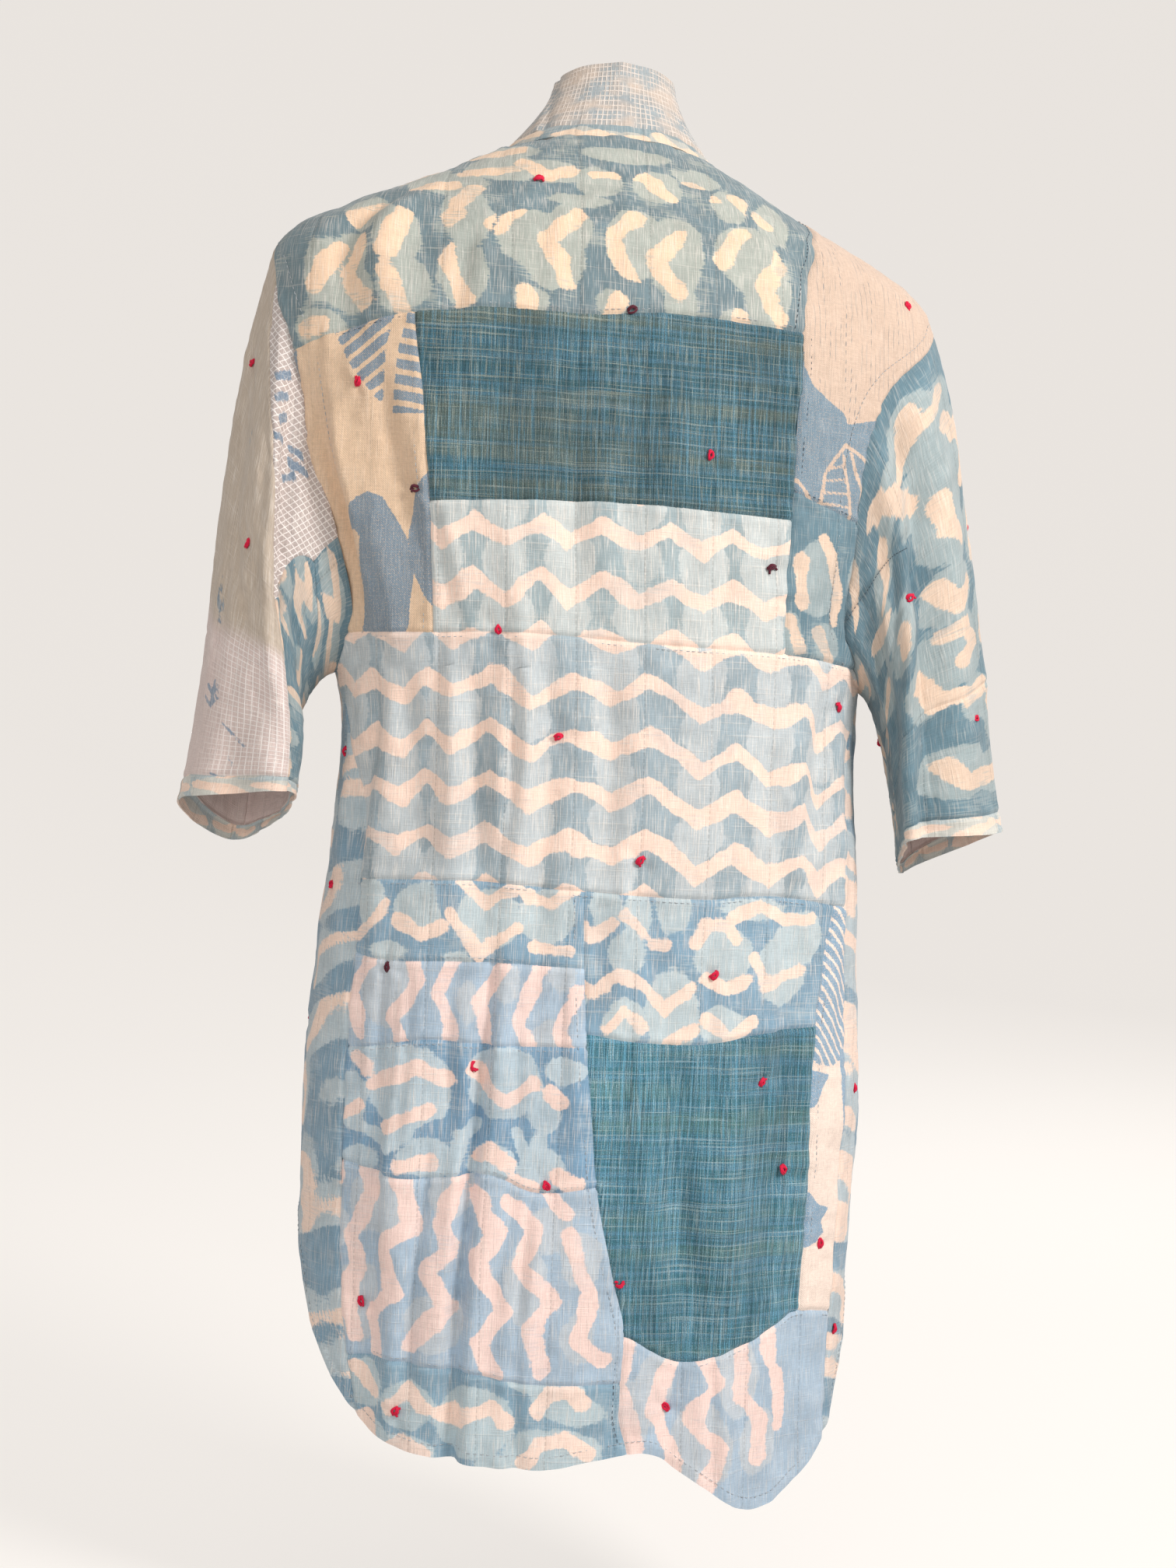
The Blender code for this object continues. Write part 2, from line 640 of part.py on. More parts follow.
BODY_COLUMNS = ("name", "right", "left", "top", "bottom", "cloth")
BODY_PIECES = (
    ("back_yoke", "yoke_run", "back_left", "neck", "yoke", "print"),
    ("back_leaf_right", "back_right", "leaf_edge", "leaf_right_top", "leaf_right_bottom", "leaf"),
    ("back_side_right", "back_right", "teal_right", "leaf_right_bottom", "chest", "print"),
    ("back_teal_upper", "teal_right", "teal_left", "yoke", "teal_bottom", "teal"),
    ("back_chevron_upper", "teal_right", "teal_left", "teal_bottom", "chest", "chevron"),
    ("back_leaf_left", "teal_left", "back_left", "yoke", "chest", "twill"),
    ("back_chevron_lower", "back_right", "back_left", "chest", "waist", "chevron"),
    ("back_band_left", "middle", "back_left", "waist", "band_left_bottom", "print"),
    ("back_zigzag_left", "middle", "back_left", "band_left_bottom", "zigzag_bottom", "zigzag"),
    ("back_print_left", "middle", "back_left", "zigzag_bottom", "print_bottom", "print"),
    ("back_zigzag_low", "middle", "back_left", "print_bottom", "low_bottom", "zigzag"),
    ("back_hem_left", "middle", "back_left", "low_bottom", "hem", "print"),
    ("back_band_right", "strip", "middle", "waist", "band_right_bottom", "print"),
    ("back_teal_lower", "strip", "middle", "band_right_bottom", "teal_low_bottom", "teal"),
    ("back_strip_right", "back_right", "strip", "waist", "teal_low_bottom", "leaf"),
    ("back_hem_right", "back_right", "middle", "teal_low_bottom", "hem", "zigzag"),
    ("front_left", "front_left", "front_edge_left", "neck", "hem", "print"),
    ("front_right", "front_edge_right", "front_right", "neck", "hem", "print"),
)
# Sleeve pieces: the turns and the shares of the length between which they lie.
SLEEVE_COLUMNS = ("name", "side", "from", "to", "start", "end", "cloth")
SLEEVE_PIECES = (
    ("sleeve_left_upper", 1, -105, 75, 0.0, 0.7, "slub"),
    ("sleeve_left_lower", 1, -105, 75, 0.7, SLEEVE_HEM, "grid"),
    ("sleeve_left_back", 1, 75, 120, 0.0, 0.4, "grid"),
    ("sleeve_left_under", 1, 120, 255, 0.0, 0.4, "print"),
    ("sleeve_left_low", 1, 75, 255, 0.4, SLEEVE_HEM, "print"),
    ("sleeve_left_hem", 1, 0, 360, SLEEVE_HEM, 1.0, "print"),
    ("sleeve_right_upper", -1, -105, 75, 0.0, 0.7, "print"),
    ("sleeve_right_lower", -1, -105, 75, 0.7, SLEEVE_HEM, "print"),
    ("sleeve_right_under", -1, 75, 255, 0.0, 0.7, "print"),
    ("sleeve_right_low", -1, 75, 255, 0.7, SLEEVE_HEM, "print"),
    ("sleeve_right_hem", -1, 0, 360, SLEEVE_HEM, 1.0, "print"),
)


# The left sleeve's seams run aslant. Where its back seam lies round the sleeve
# at each share of its length, and how far the seam behind the armhole moves
# along the sleeve at each turn.
SEAM_COLUMNS = ("run", "turn")
BACK_SEAM = ((0.00, 30), (0.10, 38), (0.15, 53), (0.20, 64), (0.26, 72), (0.37, 79), (0.50, 79), (0.64, 88), (1.00, 87))
RISE_COLUMNS = ("turn", "rise")
LOW_SEAM = ((30, 0.00), (75, 0.09), (120, -0.30), (165, -0.12), (210, 0.00))


def settled(side, turn, run):
    """Where a point of the sleeve's straight grid lies once its seams run aslant."""
    if side < 0:
        return turn, run
    rise = np.interp(turn, *np.array(LOW_SEAM, float).T)
    run = run + rise * np.interp(run, [0.0, 0.4, 0.7], [0.0, 1.0, 0.0])
    seam = np.interp(run, *np.array(BACK_SEAM, float).T)
    before = -105 + (turn + 105) * (seam + 105) / 180
    behind = seam + (turn - 75) * (120 - seam) / 45
    return np.where(turn < 75, before, np.where(turn < 120, behind, turn)), run


def sleeve_rows(start, end):
    runs = [run for run in np.linspace(0, 1, SLEEVE_ROWS + 1) if start < run < end - 0.02]
    # the seam that runs aslant has more clearance
    start += 0 if start == 0 else SLEEVE_GAP * (2.5 if start == 0.4 else 1)
    end -= 0 if end == 1 else SLEEVE_GAP * (2.5 if end == 0.4 else 1)
    return np.array([start] + runs + [end])


def build():
    for obj in list(bpy.data.objects):
        bpy.data.objects.remove(obj, do_unlink=True)
    coat = bpy.data.objects.new("coat", None)
    bpy.context.scene.collection.objects.link(coat)
    for name, right, left, top, bottom, colour in BODY_PIECES:
        if name == "front_left":
            u, drop = piece_grid("front_left", "front_edge_left", "neck", "hem")
        else:
            u, drop = piece_grid(right, left, top, bottom)
        sewn(name, body, u, drop, 1, colour, coat)
    for name, side, near, far, start, end, colour in SLEEVE_PIECES:
        table, cuffs = (ARMHOLE_LEFT, CUFF_LEFT) if side > 0 else (ARMHOLE_RIGHT, CUFF_RIGHT)
        ring = far - near == 360
        turns = np.arange(near, far + (0 if ring else 1), 360 / ARM_CELLS)
        if not ring:
            turns[0] += TURN_GAP
            turns[-1] -= TURN_GAP
        turn, run = np.meshgrid(turns, sleeve_rows(start, end))
        if not ring:
            turn, run = settled(side, turn, run)
        if start == 0:
            lead = armhole(table, side, turn[0])[1]
            run[0] = ARM_SEAM / (2.2 * np.linalg.norm(lead, axis=-1))

        def surface(a, b):
            return sleeve(table, cuffs, side, a, b)

        def steady(a, b):
            return surface(np.asarray(a) * 100.0, b)

        sewn(name, steady, turn / 100.0, run, -side, colour, coat, ring)
    neck_u = ACROSS_LINES["neck"][:, 0].copy()
    neck_u[0] += 0.0012
    neck_u[-1] -= 0.0012
    for name, start, end, colour in (
        ("neckband", 0.016, BAND_TOP, "print"),
        ("collar", BAND_TOP + 0.004, 1.0, "collar"),
    ):
        rises = np.linspace(start, end, 2 if name == "neckband" else 4)
        u, rise = np.meshgrid(neck_u, rises)
        sewn(name, collar, u, rise, -1, colour, coat)


build()
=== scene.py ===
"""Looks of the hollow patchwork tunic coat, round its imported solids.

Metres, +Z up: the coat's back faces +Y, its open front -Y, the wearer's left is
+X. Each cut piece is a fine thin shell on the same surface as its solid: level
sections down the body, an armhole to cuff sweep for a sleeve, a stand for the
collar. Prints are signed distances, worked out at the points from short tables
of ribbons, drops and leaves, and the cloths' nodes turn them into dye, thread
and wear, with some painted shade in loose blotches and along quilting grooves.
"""

import math

import bpy
import numpy as np

from mathutils import Matrix, Vector


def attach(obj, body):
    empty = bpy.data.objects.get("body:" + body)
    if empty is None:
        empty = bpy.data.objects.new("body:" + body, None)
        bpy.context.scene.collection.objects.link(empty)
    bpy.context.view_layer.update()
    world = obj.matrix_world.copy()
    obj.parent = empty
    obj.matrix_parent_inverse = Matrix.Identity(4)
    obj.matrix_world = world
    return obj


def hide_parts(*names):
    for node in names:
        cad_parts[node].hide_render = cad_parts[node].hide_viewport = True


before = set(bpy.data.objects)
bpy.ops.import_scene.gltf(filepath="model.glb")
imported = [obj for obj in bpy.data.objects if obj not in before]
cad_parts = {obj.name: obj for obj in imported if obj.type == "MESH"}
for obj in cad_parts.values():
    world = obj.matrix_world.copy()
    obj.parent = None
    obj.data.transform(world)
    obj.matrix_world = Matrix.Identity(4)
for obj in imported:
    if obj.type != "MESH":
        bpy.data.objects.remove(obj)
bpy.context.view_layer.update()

# ---------------------------------------------------------------- sizes
WALL = 0.0016  # doubled light cotton
GAP = 0.0003  # clearance at a sewn edge
CELL = 0.040  # mesh cell, girthwise and down
FRONT_EDGE = 0.989  # u where each front ends, edge to edge
ARM_CELLS = 24  # cells round a whole sleeve
SLEEVE_ROWS = 10  # cells down a sleeve
SLEEVE_GAP = 0.0018  # half a seam's clearance, as a share of the sleeve's length
TURN_GAP = 0.32  # and round it, in degrees
ARM_SEAM = 0.0034  # a sleeve's first edge stands this far off the armhole line
SLEEVE_HEM = 0.955  # share of the sleeve's length where its hem band starts
BAND_TOP = 0.17  # share of the collar's height that is neckband

# Level sections of the body, top to bottom. shift moves one to the wearer's
# left, and tilt raises it on that side, per metre.
SECTION_COLUMNS = ("drop", "half_width", "back", "front", "square", "shift", "tilt")
SECTIONS = (
    (-0.004, 0.076, 0.054, 0.040, 2.00, 0.000, 0.020),
    (0.008, 0.092, 0.071, 0.062, 2.00, 0.000, 0.030),
    (0.020, 0.119, 0.080, 0.070, 2.02, 0.000, 0.040),
    (0.036, 0.149, 0.090, 0.077, 2.05, 0.000, 0.045),
    (0.057, 0.192, 0.101, 0.085, 2.10, 0.000, 0.050),
    (0.079, 0.238, 0.110, 0.093, 2.15, 0.000, 0.050),
    (0.100, 0.276, 0.116, 0.100, 2.20, 0.000, 0.050),
    (0.130, 0.298, 0.122, 0.107, 2.25, 0.000, 0.045),
    (0.180, 0.302, 0.129, 0.115, 2.30, 0.000, 0.035),
    (0.260, 0.286, 0.134, 0.124, 2.35, 0.000, 0.020),
    (0.350, 0.262, 0.136, 0.130, 2.40, -0.002, 0.010),
    (0.440, 0.238, 0.133, 0.131, 2.40, -0.005, 0.000),
    (0.520, 0.229, 0.129, 0.128, 2.40, -0.008, 0.000),
    (0.600, 0.233, 0.127, 0.124, 2.38, -0.009, 0.000),
    (0.700, 0.241, 0.127, 0.122, 2.35, -0.007, 0.000),
    (0.850, 0.247, 0.129, 0.121, 2.30, -0.006, 0.000),
    (1.000, 0.245, 0.131, 0.121, 2.25, -0.003, 0.000),
    (1.220, 0.236, 0.130, 0.118, 2.20, -0.004, 0.000),
)

# Neckline: how far the neck seam lies below the nape, round one side.
NECK_COLUMNS = ("u", "drop")
NECKLINE = (
    (0.0, 0.000),
    (0.3, 0.003),
    (0.5, 0.010),
    (0.7, 0.020),
    (0.8, 0.036),
    (0.9, 0.058),
    (1.0, 0.080),
)

# Collar top edge, round one side: x, y and height over the nape seam.
COLLAR_COLUMNS = ("u", "x", "y", "rise")
COLLAR_TOP = (
    (0.00, 0.0000, 0.030, 0.074),
    (0.20, 0.0300, 0.022, 0.071),
    (0.40, 0.0510, 0.000, 0.064),
    (0.60, 0.0560, -0.028, 0.054),
    (0.80, 0.0400, -0.058, 0.042),
    (1.00, 0.0020, -0.072, 0.036),
)
COLLAR_LEAN = -0.004  # the top edge stands over to the wearer's right

# Largest soft folds that run down the body. u at the top and bottom, where
# they start and end, half width and depth (a trough is positive).
FOLD_COLUMNS = ("u_top", "u_bottom", "start", "end", "half_width", "depth")
FOLDS = (
    (0.160, 0.215, 0.560, 1.180, 0.017, 0.007),
    (0.075, 0.090, 0.300, 1.150, 0.022, 0.003),
    (-0.110, -0.060, 0.700, 1.180, 0.030, 0.005),
    (-0.330, -0.300, 0.800, 1.180, 0.026, 0.004),
    (0.360, 0.340, 0.650, 1.180, 0.024, 0.004),
    (0.640, 0.620, 0.450, 1.100, 0.026, 0.006),
    (-0.620, -0.640, 0.450, 1.100, 0.026, 0.006),
    (0.850, 0.830, 0.500, 1.120, 0.022, 0.005),
    (-0.830, -0.850, 0.500, 1.120, 0.022, 0.005),
)

# Hem: how far the cut edge lies below the nape, right to left round the girth.
HEM_COLUMNS = ("u", "drop")
HEM = (
    (-1.00, 1.010),
    (-0.80, 1.050),
    (-0.65, 1.010),
    (-0.54, 0.975),
    (-0.46, 1.035),
    (-0.40, 1.110),
    (-0.34, 1.155),
    (-0.25, 1.184),
    (-0.14, 1.150),
    (-0.08, 1.130),
    (0.00, 1.136),
    (0.08, 1.143),
    (0.22, 1.137),
    (0.32, 1.122),
    (0.40, 1.065),
    (0.48, 0.985),
    (0.54, 0.955),
    (0.65, 1.005),
    (0.80, 1.050),
    (1.00, 1.010),
)

# Armhole seam, round from the shoulder tip over the back. Where it lies on
# the body, and the direction and reach with which the sleeve leaves it.
ARMHOLE_COLUMNS = ("turn", "u", "drop", "out", "back", "down")
ARMHOLE_LEFT = (
    (0, 0.500, 0.118, 0.045, 0.000, 0.150),
    (30, 0.450, 0.153, 0.045, 0.020, 0.150),
    (60, 0.408, 0.214, 0.060, 0.040, 0.130),
    (90, 0.406, 0.289, 0.075, 0.040, 0.110),
    (120, 0.394, 0.365, 0.085, 0.025, 0.080),
    (150, 0.402, 0.432, 0.080, 0.005, 0.040),
    (180, 0.480, 0.472, 0.070, -0.005, 0.030),
    (210, 0.572, 0.430, 0.080, -0.015, 0.040),
    (240, 0.590, 0.365, 0.085, -0.030, 0.080),
    (270, 0.590, 0.290, 0.075, -0.040, 0.110),
    (300, 0.580, 0.215, 0.060, -0.040, 0.130),
    (330, 0.550, 0.150, 0.045, -0.020, 0.150),
)
ARMHOLE_RIGHT = (
    (0, 0.500, 0.118, 0.050, 0.000, 0.130),
    (30, 0.446, 0.150, 0.055, 0.020, 0.130),
    (60, 0.352, 0.203, 0.060, 0.030, 0.120),
    (90, 0.328, 0.280, 0.070, 0.030, 0.110),
    (120, 0.337, 0.362, 0.065, 0.015, 0.080),
    (150, 0.358, 0.430, 0.060, 0.005, 0.055),
    (180, 0.460, 0.472, 0.055, -0.005, 0.040),
    (210, 0.572, 0.430, 0.060, -0.015, 0.055),
    (240, 0.590, 0.365, 0.060, -0.030, 0.090),
    (270, 0.590, 0.290, 0.075, -0.040, 0.110),
    (300, 0.580, 0.215, 0.060, -0.040, 0.130),
    (330, 0.550, 0.150, 0.050, -0.020, 0.140),
)

# Cuff edge, round the same way: out from the centre, back, and drop.
CUFF_COLUMNS = ("turn", "out", "back", "drop")
CUFF_LEFT = (
    (0, 0.360, 0.010, 0.591),
    (45, 0.335, 0.062, 0.586),
    (90, 0.268, 0.090, 0.580),
    (135, 0.264, 0.038, 0.586),
    (180, 0.270, -0.016, 0.601),
    (225, 0.290, -0.060, 0.617),
    (270, 0.316, -0.082, 0.627),
    (315, 0.348, -0.048, 0.611),
)
CUFF_RIGHT = (
    (0, 0.378, 0.010, 0.596),
    (45, 0.352, 0.062, 0.598),
    (90, 0.282, 0.088, 0.603),
    (135, 0.284, 0.038, 0.616),
    (180, 0.294, -0.012, 0.632),
    (225, 0.308, -0.052, 0.638),
    (270, 0.334, -0.074, 0.628),
    (315, 0.366, -0.042, 0.610),
)
# ------------------------------------------------------------ curves
def column(rows, names, name):
    return np.array([row[names.index(name)] for row in rows], float)


def hermite(x0, x1, y0, y1, m0, m1, x):
    h = x1 - x0
    t = (x - x0) / h
    return (
        (2 * t**3 - 3 * t**2 + 1) * y0
        + (t**3 - 2 * t**2 + t) * h * m0
        + (-2 * t**3 + 3 * t**2) * y1
        + (t**3 - t**2) * h * m1
    )


def smooth(xs, ys, x):
    """Curve through the points whose slopes are limited, so it never overshoots."""
    x = np.clip(x, xs[0], xs[-1])
    slope = np.diff(ys) / np.diff(xs)
    m = np.empty_like(ys)
    m[0], m[-1] = slope[0], slope[-1]
    before, after = slope[:-1], slope[1:]
    same = before * after > 0
    total = np.where(same, before + after, 1.0)
    m[1:-1] = np.where(same, 2 * before * after / total, 0.0)
    i = np.clip(np.searchsorted(xs, x, side="right") - 1, 0, len(xs) - 2)
    return hermite(xs[i], xs[i + 1], ys[i], ys[i + 1], m[i], m[i + 1], x)


def around(turns, ys, turn):
    """Closed curve through the points of one whole turn."""
    xs = np.concatenate([turns - 360, turns, turns + 360])
    ys = np.concatenate([ys, ys, ys])
    m = np.gradient(ys, xs)
    turn = np.mod(turn, 360.0)
    i = np.clip(np.searchsorted(xs, turn, side="right") - 1, 0, len(xs) - 2)
    return hermite(xs[i], xs[i + 1], ys[i], ys[i + 1], m[i], m[i + 1], turn)


# -------------------------------------------------------------- body
GRID_DROPS = np.linspace(SECTIONS[0][0], SECTIONS[-1][0], 401)
GRID_U = np.linspace(0.0, 1.0, 161)


def power(value, exponent):
    return np.sign(value) * np.abs(value) ** exponent


def section_grid():
    """x, y of the sections at GRID_DROPS and GRID_U, and each half girth."""
    size = {
        name: smooth(
            column(SECTIONS, SECTION_COLUMNS, "drop"),
            column(SECTIONS, SECTION_COLUMNS, name),
            GRID_DROPS,
        )[:, None]
        for name in SECTION_COLUMNS[1:5]
    }
    phi = np.linspace(0.0, math.pi, 721)[None, :]
    depth = np.where(np.cos(phi) > 0, size["back"], size["front"])
    x = size["half_width"] * power(np.sin(phi), 2 / size["square"])
    y = depth * power(np.cos(phi), 2 / size["square"])
    step = np.hypot(np.diff(x, axis=1), np.diff(y, axis=1))
    length = np.concatenate([np.zeros((len(x), 1)), np.cumsum(step, axis=1)], axis=1)
    girth = length[:, -1]
    out_x = np.empty((len(x), len(GRID_U)))
    out_y = np.empty_like(out_x)
    for i in range(len(x)):
        out_x[i] = np.interp(GRID_U * girth[i], length[i], x[i])
        out_y[i] = np.interp(GRID_U * girth[i], length[i], y[i])
    return out_x, out_y, girth


GRID_X, GRID_Y, HALF_GIRTH = section_grid()
GRID_SHIFT, GRID_TILT = (
    smooth(
        column(SECTIONS, SECTION_COLUMNS, "drop"),
        column(SECTIONS, SECTION_COLUMNS, name),
        GRID_DROPS,
    )
    for name in ("shift", "tilt")
)


def half_girth(drop):
    return np.interp(drop, GRID_DROPS, HALF_GIRTH)


def plain_body(u, drop):
    u, drop = np.broadcast_arrays(np.asarray(u, float), np.asarray(drop, float))
    a = np.clip(np.abs(u), 0, 1) * (len(GRID_U) - 1)
    b = (drop - GRID_DROPS[0]) / (GRID_DROPS[1] - GRID_DROPS[0])
    b = np.clip(b, 0, len(GRID_DROPS) - 1)
    j = np.minimum(a.astype(int), len(GRID_U) - 2)
    i = np.minimum(b.astype(int), len(GRID_DROPS) - 2)
    fa, fb = a - j, b - i

    def read(grid):
        top = grid[i, j] * (1 - fa) + grid[i, j + 1] * fa
        low = grid[i + 1, j] * (1 - fa) + grid[i + 1, j + 1] * fa
        return top * (1 - fb) + low * fb

    x = np.where(u < 0, -1, 1) * read(GRID_X)
    rise = np.interp(drop, GRID_DROPS, GRID_TILT) * x
    shift = np.interp(drop, GRID_DROPS, GRID_SHIFT)
    return np.stack([x + shift, read(GRID_Y), rise - drop], -1)


def fold_push(u, drop):
    """How far the soft folds press the cloth inwards."""
    total = np.zeros(np.broadcast(u, drop).shape)
    for u_top, u_low, start, end, half_width, depth in FOLDS:
        along = np.clip((drop - start) / (end - start), 0, 1)
        centre = u_top + (u_low - u_top) * along
        grown = along * along * (3 - 2 * along)
        across = (u - centre) * half_girth(drop) / half_width
        total = total + depth * np.minimum(1, 2.2 * grown) * np.exp(-across * across)
    return total


def body(u, drop):
    here = plain_body(u, drop)
    run = (plain_body(u + 0.002, drop) - plain_body(u - 0.002, drop))[..., :2]
    run = run / np.linalg.norm(run, axis=-1, keepdims=True)
    push = fold_push(u, drop)
    here[..., 0] += run[..., 1] * push
    here[..., 1] -= run[..., 0] * push
    return here


def neck_drop(u):
    return smooth(
        column(NECKLINE, NECK_COLUMNS, "u"),
        column(NECKLINE, NECK_COLUMNS, "drop"),
        np.abs(u),
    )


def hem_drop(u):
    return smooth(column(HEM, HEM_COLUMNS, "u"), column(HEM, HEM_COLUMNS, "drop"), u)


# ------------------------------------------------------------ collar
def collar(u, rise):
    """u round the neck as on the body, rise 0 at the seam and 1 at the top."""
    u, rise = np.broadcast_arrays(np.asarray(u, float), np.asarray(rise, float))
    low = body(u, neck_drop(u))
    side = np.where(u < 0, -1, 1)
    us = column(COLLAR_TOP, COLLAR_COLUMNS, "u")
    top = np.stack(
        [
            side * smooth(us, column(COLLAR_TOP, COLLAR_COLUMNS, "x"), np.abs(u))
            + COLLAR_LEAN,
            smooth(us, column(COLLAR_TOP, COLLAR_COLUMNS, "y"), np.abs(u)),
            smooth(us, column(COLLAR_TOP, COLLAR_COLUMNS, "rise"), np.abs(u)),
        ],
        -1,
    )
    share = rise[..., None]
    lean = np.concatenate([1 - np.maximum(1 - share, 0) ** 1.35] * 2 + [share], -1)
    return low + (top - low) * lean


# ----------------------------------------------------------- sleeves
def armhole(table, side, turn):
    turns = column(table, ARMHOLE_COLUMNS, "turn")
    read = {
        name: around(turns, column(table, ARMHOLE_COLUMNS, name), turn)
        for name in ARMHOLE_COLUMNS[1:]
    }
    start = body(side * read["u"], read["drop"])
    lead = np.stack([side * read["out"], read["back"], -read["down"]], -1)
    return start, lead


def sleeve(table, cuffs, side, turn, run):
    """turn in degrees from the shoulder tip over the back, run 0 at the armhole
    and 1 at the cuff."""
    turn, run = np.broadcast_arrays(np.asarray(turn, float), np.asarray(run, float))
    start, lead = armhole(table, side, turn)
    turns = column(cuffs, CUFF_COLUMNS, "turn")
    end = np.stack(
        [
            side * around(turns, column(cuffs, CUFF_COLUMNS, "out"), turn),
            around(turns, column(cuffs, CUFF_COLUMNS, "back"), turn),
            -around(turns, column(cuffs, CUFF_COLUMNS, "drop"), turn),
        ],
        -1,
    )
    reach = np.linalg.norm(end - start, axis=-1, keepdims=True)
    settle = np.array([side * 0.17, 0.0, -0.98]) * reach * 0.9
    return hermite(0.0, 1.0, start, end, 2.2 * lead, settle, run[..., None])

# ------------------------------------------------------------- seams
# Seams that run down the body, and those that run across it.
DOWN = {
    "yoke_right": ((0.036, -0.500), (0.040, -0.482), (0.045, -0.461), (0.050, -0.440), (0.064, -0.370), (0.080, -0.305), (0.118, -0.242), (0.166, -0.222)),
    "teal_right": ((0.166, -0.222), (0.250, -0.222), (0.307, -0.225), (0.332, -0.226), (0.390, -0.233), (0.448, -0.242)),
    "teal_left": ((0.180, 0.250), (0.258, 0.242), (0.334, 0.245), (0.386, 0.253), (0.442, 0.262)),
    "middle": ((0.656, 0.044), (0.778, 0.030), (0.848, 0.018), (0.904, 0.006), (0.974, -0.020), (1.031, -0.042), (1.094, -0.040), (1.134, -0.054), (1.250, -0.060)),
    "strip": ((0.666, -0.348), (0.771, -0.316), (0.830, -0.311), (0.912, -0.316), (1.018, -0.320)),
    "side_left": ((0.472, 0.480), (0.520, 0.432), (0.580, 0.404), (0.740, 0.376), (0.900, 0.378), (1.250, 0.320)),
    "side_right": ((0.472, -0.460), (0.520, -0.402), (0.590, -0.378), (0.660, -0.374), (0.780, -0.390), (1.250, -0.376)),
    "front_edge_left": ((-0.1, FRONT_EDGE), (1.3, FRONT_EDGE)),
    "front_edge_right": ((-0.1, -FRONT_EDGE), (1.3, -FRONT_EDGE)),
}
ACROSS = {
    "yoke": ((-0.222, 0.166), (-0.146, 0.164), (-0.068, 0.163), (0.056, 0.171), (0.148, 0.172), (0.250, 0.180), (0.348, 0.198), (0.409, 0.212)),
    "leaf_right_bottom": ((-0.420, 0.345), (-0.304, 0.323), (-0.225, 0.307)),
    "teal_bottom": ((-0.226, 0.332), (0.014, 0.328), (0.245, 0.334)),
    "chest": ((-0.420, 0.457), (-0.356, 0.454), (-0.242, 0.448), (-0.074, 0.446), (0.166, 0.440), (0.262, 0.442), (0.480, 0.442)),
    "waist": ((-0.400, 0.668), (-0.216, 0.656), (-0.132, 0.660), (0.044, 0.656), (0.206, 0.650), (0.420, 0.654)),
    "band_left_bottom": ((0.000, 0.722), (0.198, 0.718), (0.310, 0.720), (0.420, 0.711)),
    "band_right_bottom": ((-0.330, 0.768), (-0.230, 0.774), (-0.116, 0.784), (-0.040, 0.782), (0.034, 0.776), (0.060, 0.775)),
    "zigzag_bottom": ((0.000, 0.787), (0.140, 0.788), (0.240, 0.785), (0.366, 0.796), (0.420, 0.797)),
    "print_bottom": ((-0.010, 0.903), (0.084, 0.911), (0.160, 0.896), (0.270, 0.903), (0.386, 0.893), (0.420, 0.892)),
    "low_bottom": ((-0.080, 1.070), (0.062, 1.072), (0.172, 1.064), (0.322, 1.057), (0.426, 1.066)),
    "teal_low_bottom": ((-0.420, 1.026), (-0.320, 1.017), (-0.222, 1.040), (-0.128, 1.054), (-0.082, 1.043), (-0.042, 1.031), (0.000, 1.030)),
}


def side_line(side, table, seam, first, last):
    """(drop, u) down one side: shoulder ridge, armhole and side seam. The back
    runs over the turns 0 to 180, the front over 360 to 180."""
    turns = column(table, ARMHOLE_COLUMNS, "turn")
    run = np.linspace(first, last, 37)
    drop = around(turns, column(table, ARMHOLE_COLUMNS, "drop"), run)
    u = side * around(turns, column(table, ARMHOLE_COLUMNS, "u"), run)
    return np.array([(-0.1, side * 0.5)] + list(zip(drop, u)) + list(DOWN[seam][1:]))


DOWN_LINES = {name: np.array(rows, float) for name, rows in DOWN.items()}
DOWN_LINES["back_left"] = side_line(1, ARMHOLE_LEFT, "side_left", 0, 180)
DOWN_LINES["front_left"] = side_line(1, ARMHOLE_LEFT, "side_left", 360, 180)
DOWN_LINES["back_right"] = side_line(-1, ARMHOLE_RIGHT, "side_right", 0, 180)
DOWN_LINES["front_right"] = side_line(-1, ARMHOLE_RIGHT, "side_right", 360, 180)
DOWN_LINES["yoke_run"] = np.concatenate([[(-0.1, -0.5)], DOWN_LINES["yoke_right"]])
DOWN_LINES["leaf_edge"] = np.concatenate([DOWN_LINES["yoke_right"][3:], DOWN_LINES["teal_right"][1:]])
ACROSS_LINES = {name: np.array(rows, float) for name, rows in ACROSS.items()}
ACROSS_LINES["leaf_right_top"] = DOWN_LINES["yoke_right"][:4, ::-1]
NECK_U = np.linspace(-1, 1, 81)
ACROSS_LINES["neck"] = np.stack([NECK_U, neck_drop(NECK_U)], -1)
ACROSS_LINES["hem"] = np.stack([NECK_U, hem_drop(NECK_U)], -1)

# Length over the cloth for each drop, so that rows stay even over the shoulder.
WAY_DROPS = np.linspace(-0.02, 1.30, 661)
WAY = np.concatenate([[0.0], np.cumsum(np.hypot(
    np.diff(WAY_DROPS),
    0.75 * np.diff(smooth(
        column(SECTIONS, SECTION_COLUMNS, "drop"),
        column(SECTIONS, SECTION_COLUMNS, "half_width"),
        WAY_DROPS,
    )),
))])


def way(drop):
    return np.interp(drop, WAY_DROPS, WAY)


def at_way(length):
    return np.interp(length, WAY, WAY_DROPS)


def line_u(name, drop):
    rows = DOWN_LINES[name]
    return smooth(rows[:, 0], rows[:, 1], np.asarray(drop, float))


def line_drop(name, u):
    rows = ACROSS_LINES[name]
    return smooth(rows[:, 0], rows[:, 1], np.asarray(u, float))


